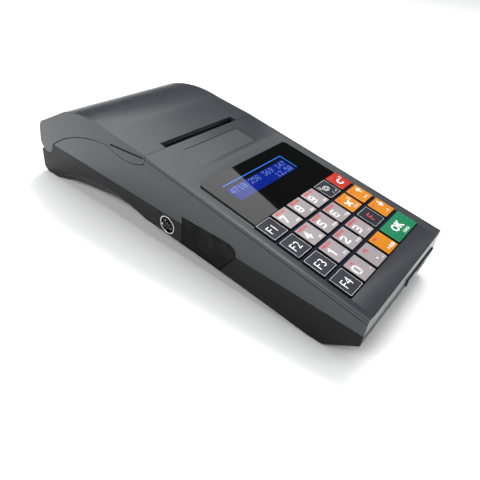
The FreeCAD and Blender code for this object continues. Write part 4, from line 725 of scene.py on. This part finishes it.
# ------------------------------------------------------------------ display
# five dots across and seven down, from the top left
DOTS = {"0": "01110100011001110101110011000101110", "1": "00100011000010000100001000010001110",
        "2": "01110100010000100010001000100011111", "3": "11111000100010000010000011000101110",
        "4": "00010001100101010010111110001000010", "5": "11111100001111000001000011000101110",
        "6": "00110010001000011110100011000101110", "7": "11111000010001000100010000100001000",
        "8": "01110100011000101110100011000101110", "9": "01110100011000101111000010001001100",
        ".": "00000000000000000000000000110001100", " ": "0" * 35}
DISPLAY_LINES = ("4710 258 369 147", "           12.50")


def window_plate():
    """The gloss window with rounded rear corners."""
    low, high = deck_corners("display_window")
    thickness = 1.2 * MM
    middle = (low.y + high.y) / 2
    bm = bmesh.new()
    size = Matrix.Diagonal((2 * high.x, high.y - low.y, thickness, 1))
    bmesh.ops.create_cube(bm, size=1, matrix=Matrix.Translation((0, middle, -thickness / 2)) @ size)
    corners = [edge for edge in bm.edges if abs(edge.verts[0].co.z - edge.verts[1].co.z) > thickness / 2
               and edge.verts[0].co.y > middle]
    bmesh.ops.bevel(bm, geom=corners, offset=2.5 * MM, offset_type="OFFSET", segments=6, profile=0.5,
                    affect="EDGES", material=-1)
    bm.transform(DECK)
    piece = finished("display_window_pane", bm, "case", ["window"])
    soften(piece, 0.12)
    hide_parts("display_window")


def flat_box(bm, x0, x1, y0, y1, z, material):
    """A box 0.02 mm thick about the level z, in mm in the deck frame."""
    size = Matrix.Diagonal((x1 - x0, y1 - y0, 0.02, 1))
    made = bmesh.ops.create_cube(bm, size=1, matrix=Matrix.Translation(
        ((x0 + x1) / 2, (y0 + y1) / 2, z)) @ size)
    for face in {face for vert in made["verts"] for face in vert.link_faces}:
        face.material_index = material


def display_picture():
    """The lit blue field with two lines of dot digits, and the pale line round it."""
    blue, dot, line = 0, 1, 2
    bm = bmesh.new()
    field_level, dot_level = -0.004, 0.0
    flat_box(bm, -29.0, 19.3, 81.0, 91.0, field_level, blue)
    flat_box(bm, -28.9, 21.8, 93.5, 94.1, field_level, line)
    flat_box(bm, 21.2, 21.8, 81.6, 94.1, field_level, line)
    first_x, first_y = -28.2, 90.2
    sign_pitch, line_pitch = 2.95, 4.9
    pitch_x, pitch_y = 2.92 / 6, 4.3 / 8
    dot_share = 0.84
    for row, words in enumerate(DISPLAY_LINES):
        for column, sign in enumerate(words):
            for place, lit in enumerate(DOTS[sign]):
                if lit == "1":
                    x = first_x + column * sign_pitch + (place % 5) * pitch_x
                    y = first_y - row * line_pitch - (place // 5) * pitch_y
                    flat_box(bm, x, x + pitch_x * dot_share, y - pitch_y * dot_share, y, dot_level, dot)
    bm.transform(DECK @ Matrix.Scale(MM, 4))
    finished("display_digits", bm, "case", ["lcd_blue", "lcd_dots", "lcd_line"], smooth=False)


# ------------------------------------------------------------------ the whole register
GRAIN = moulded_grain()
SMUDGE = handling_smudge()
LINES = brushed_lines()
FINISH = make_materials()

set_camera()
set_light()
set_floor()
plain_nodes()
build_shells()
build_keys()
window_plate()
display_picture()

bpy.context.view_layer.update()
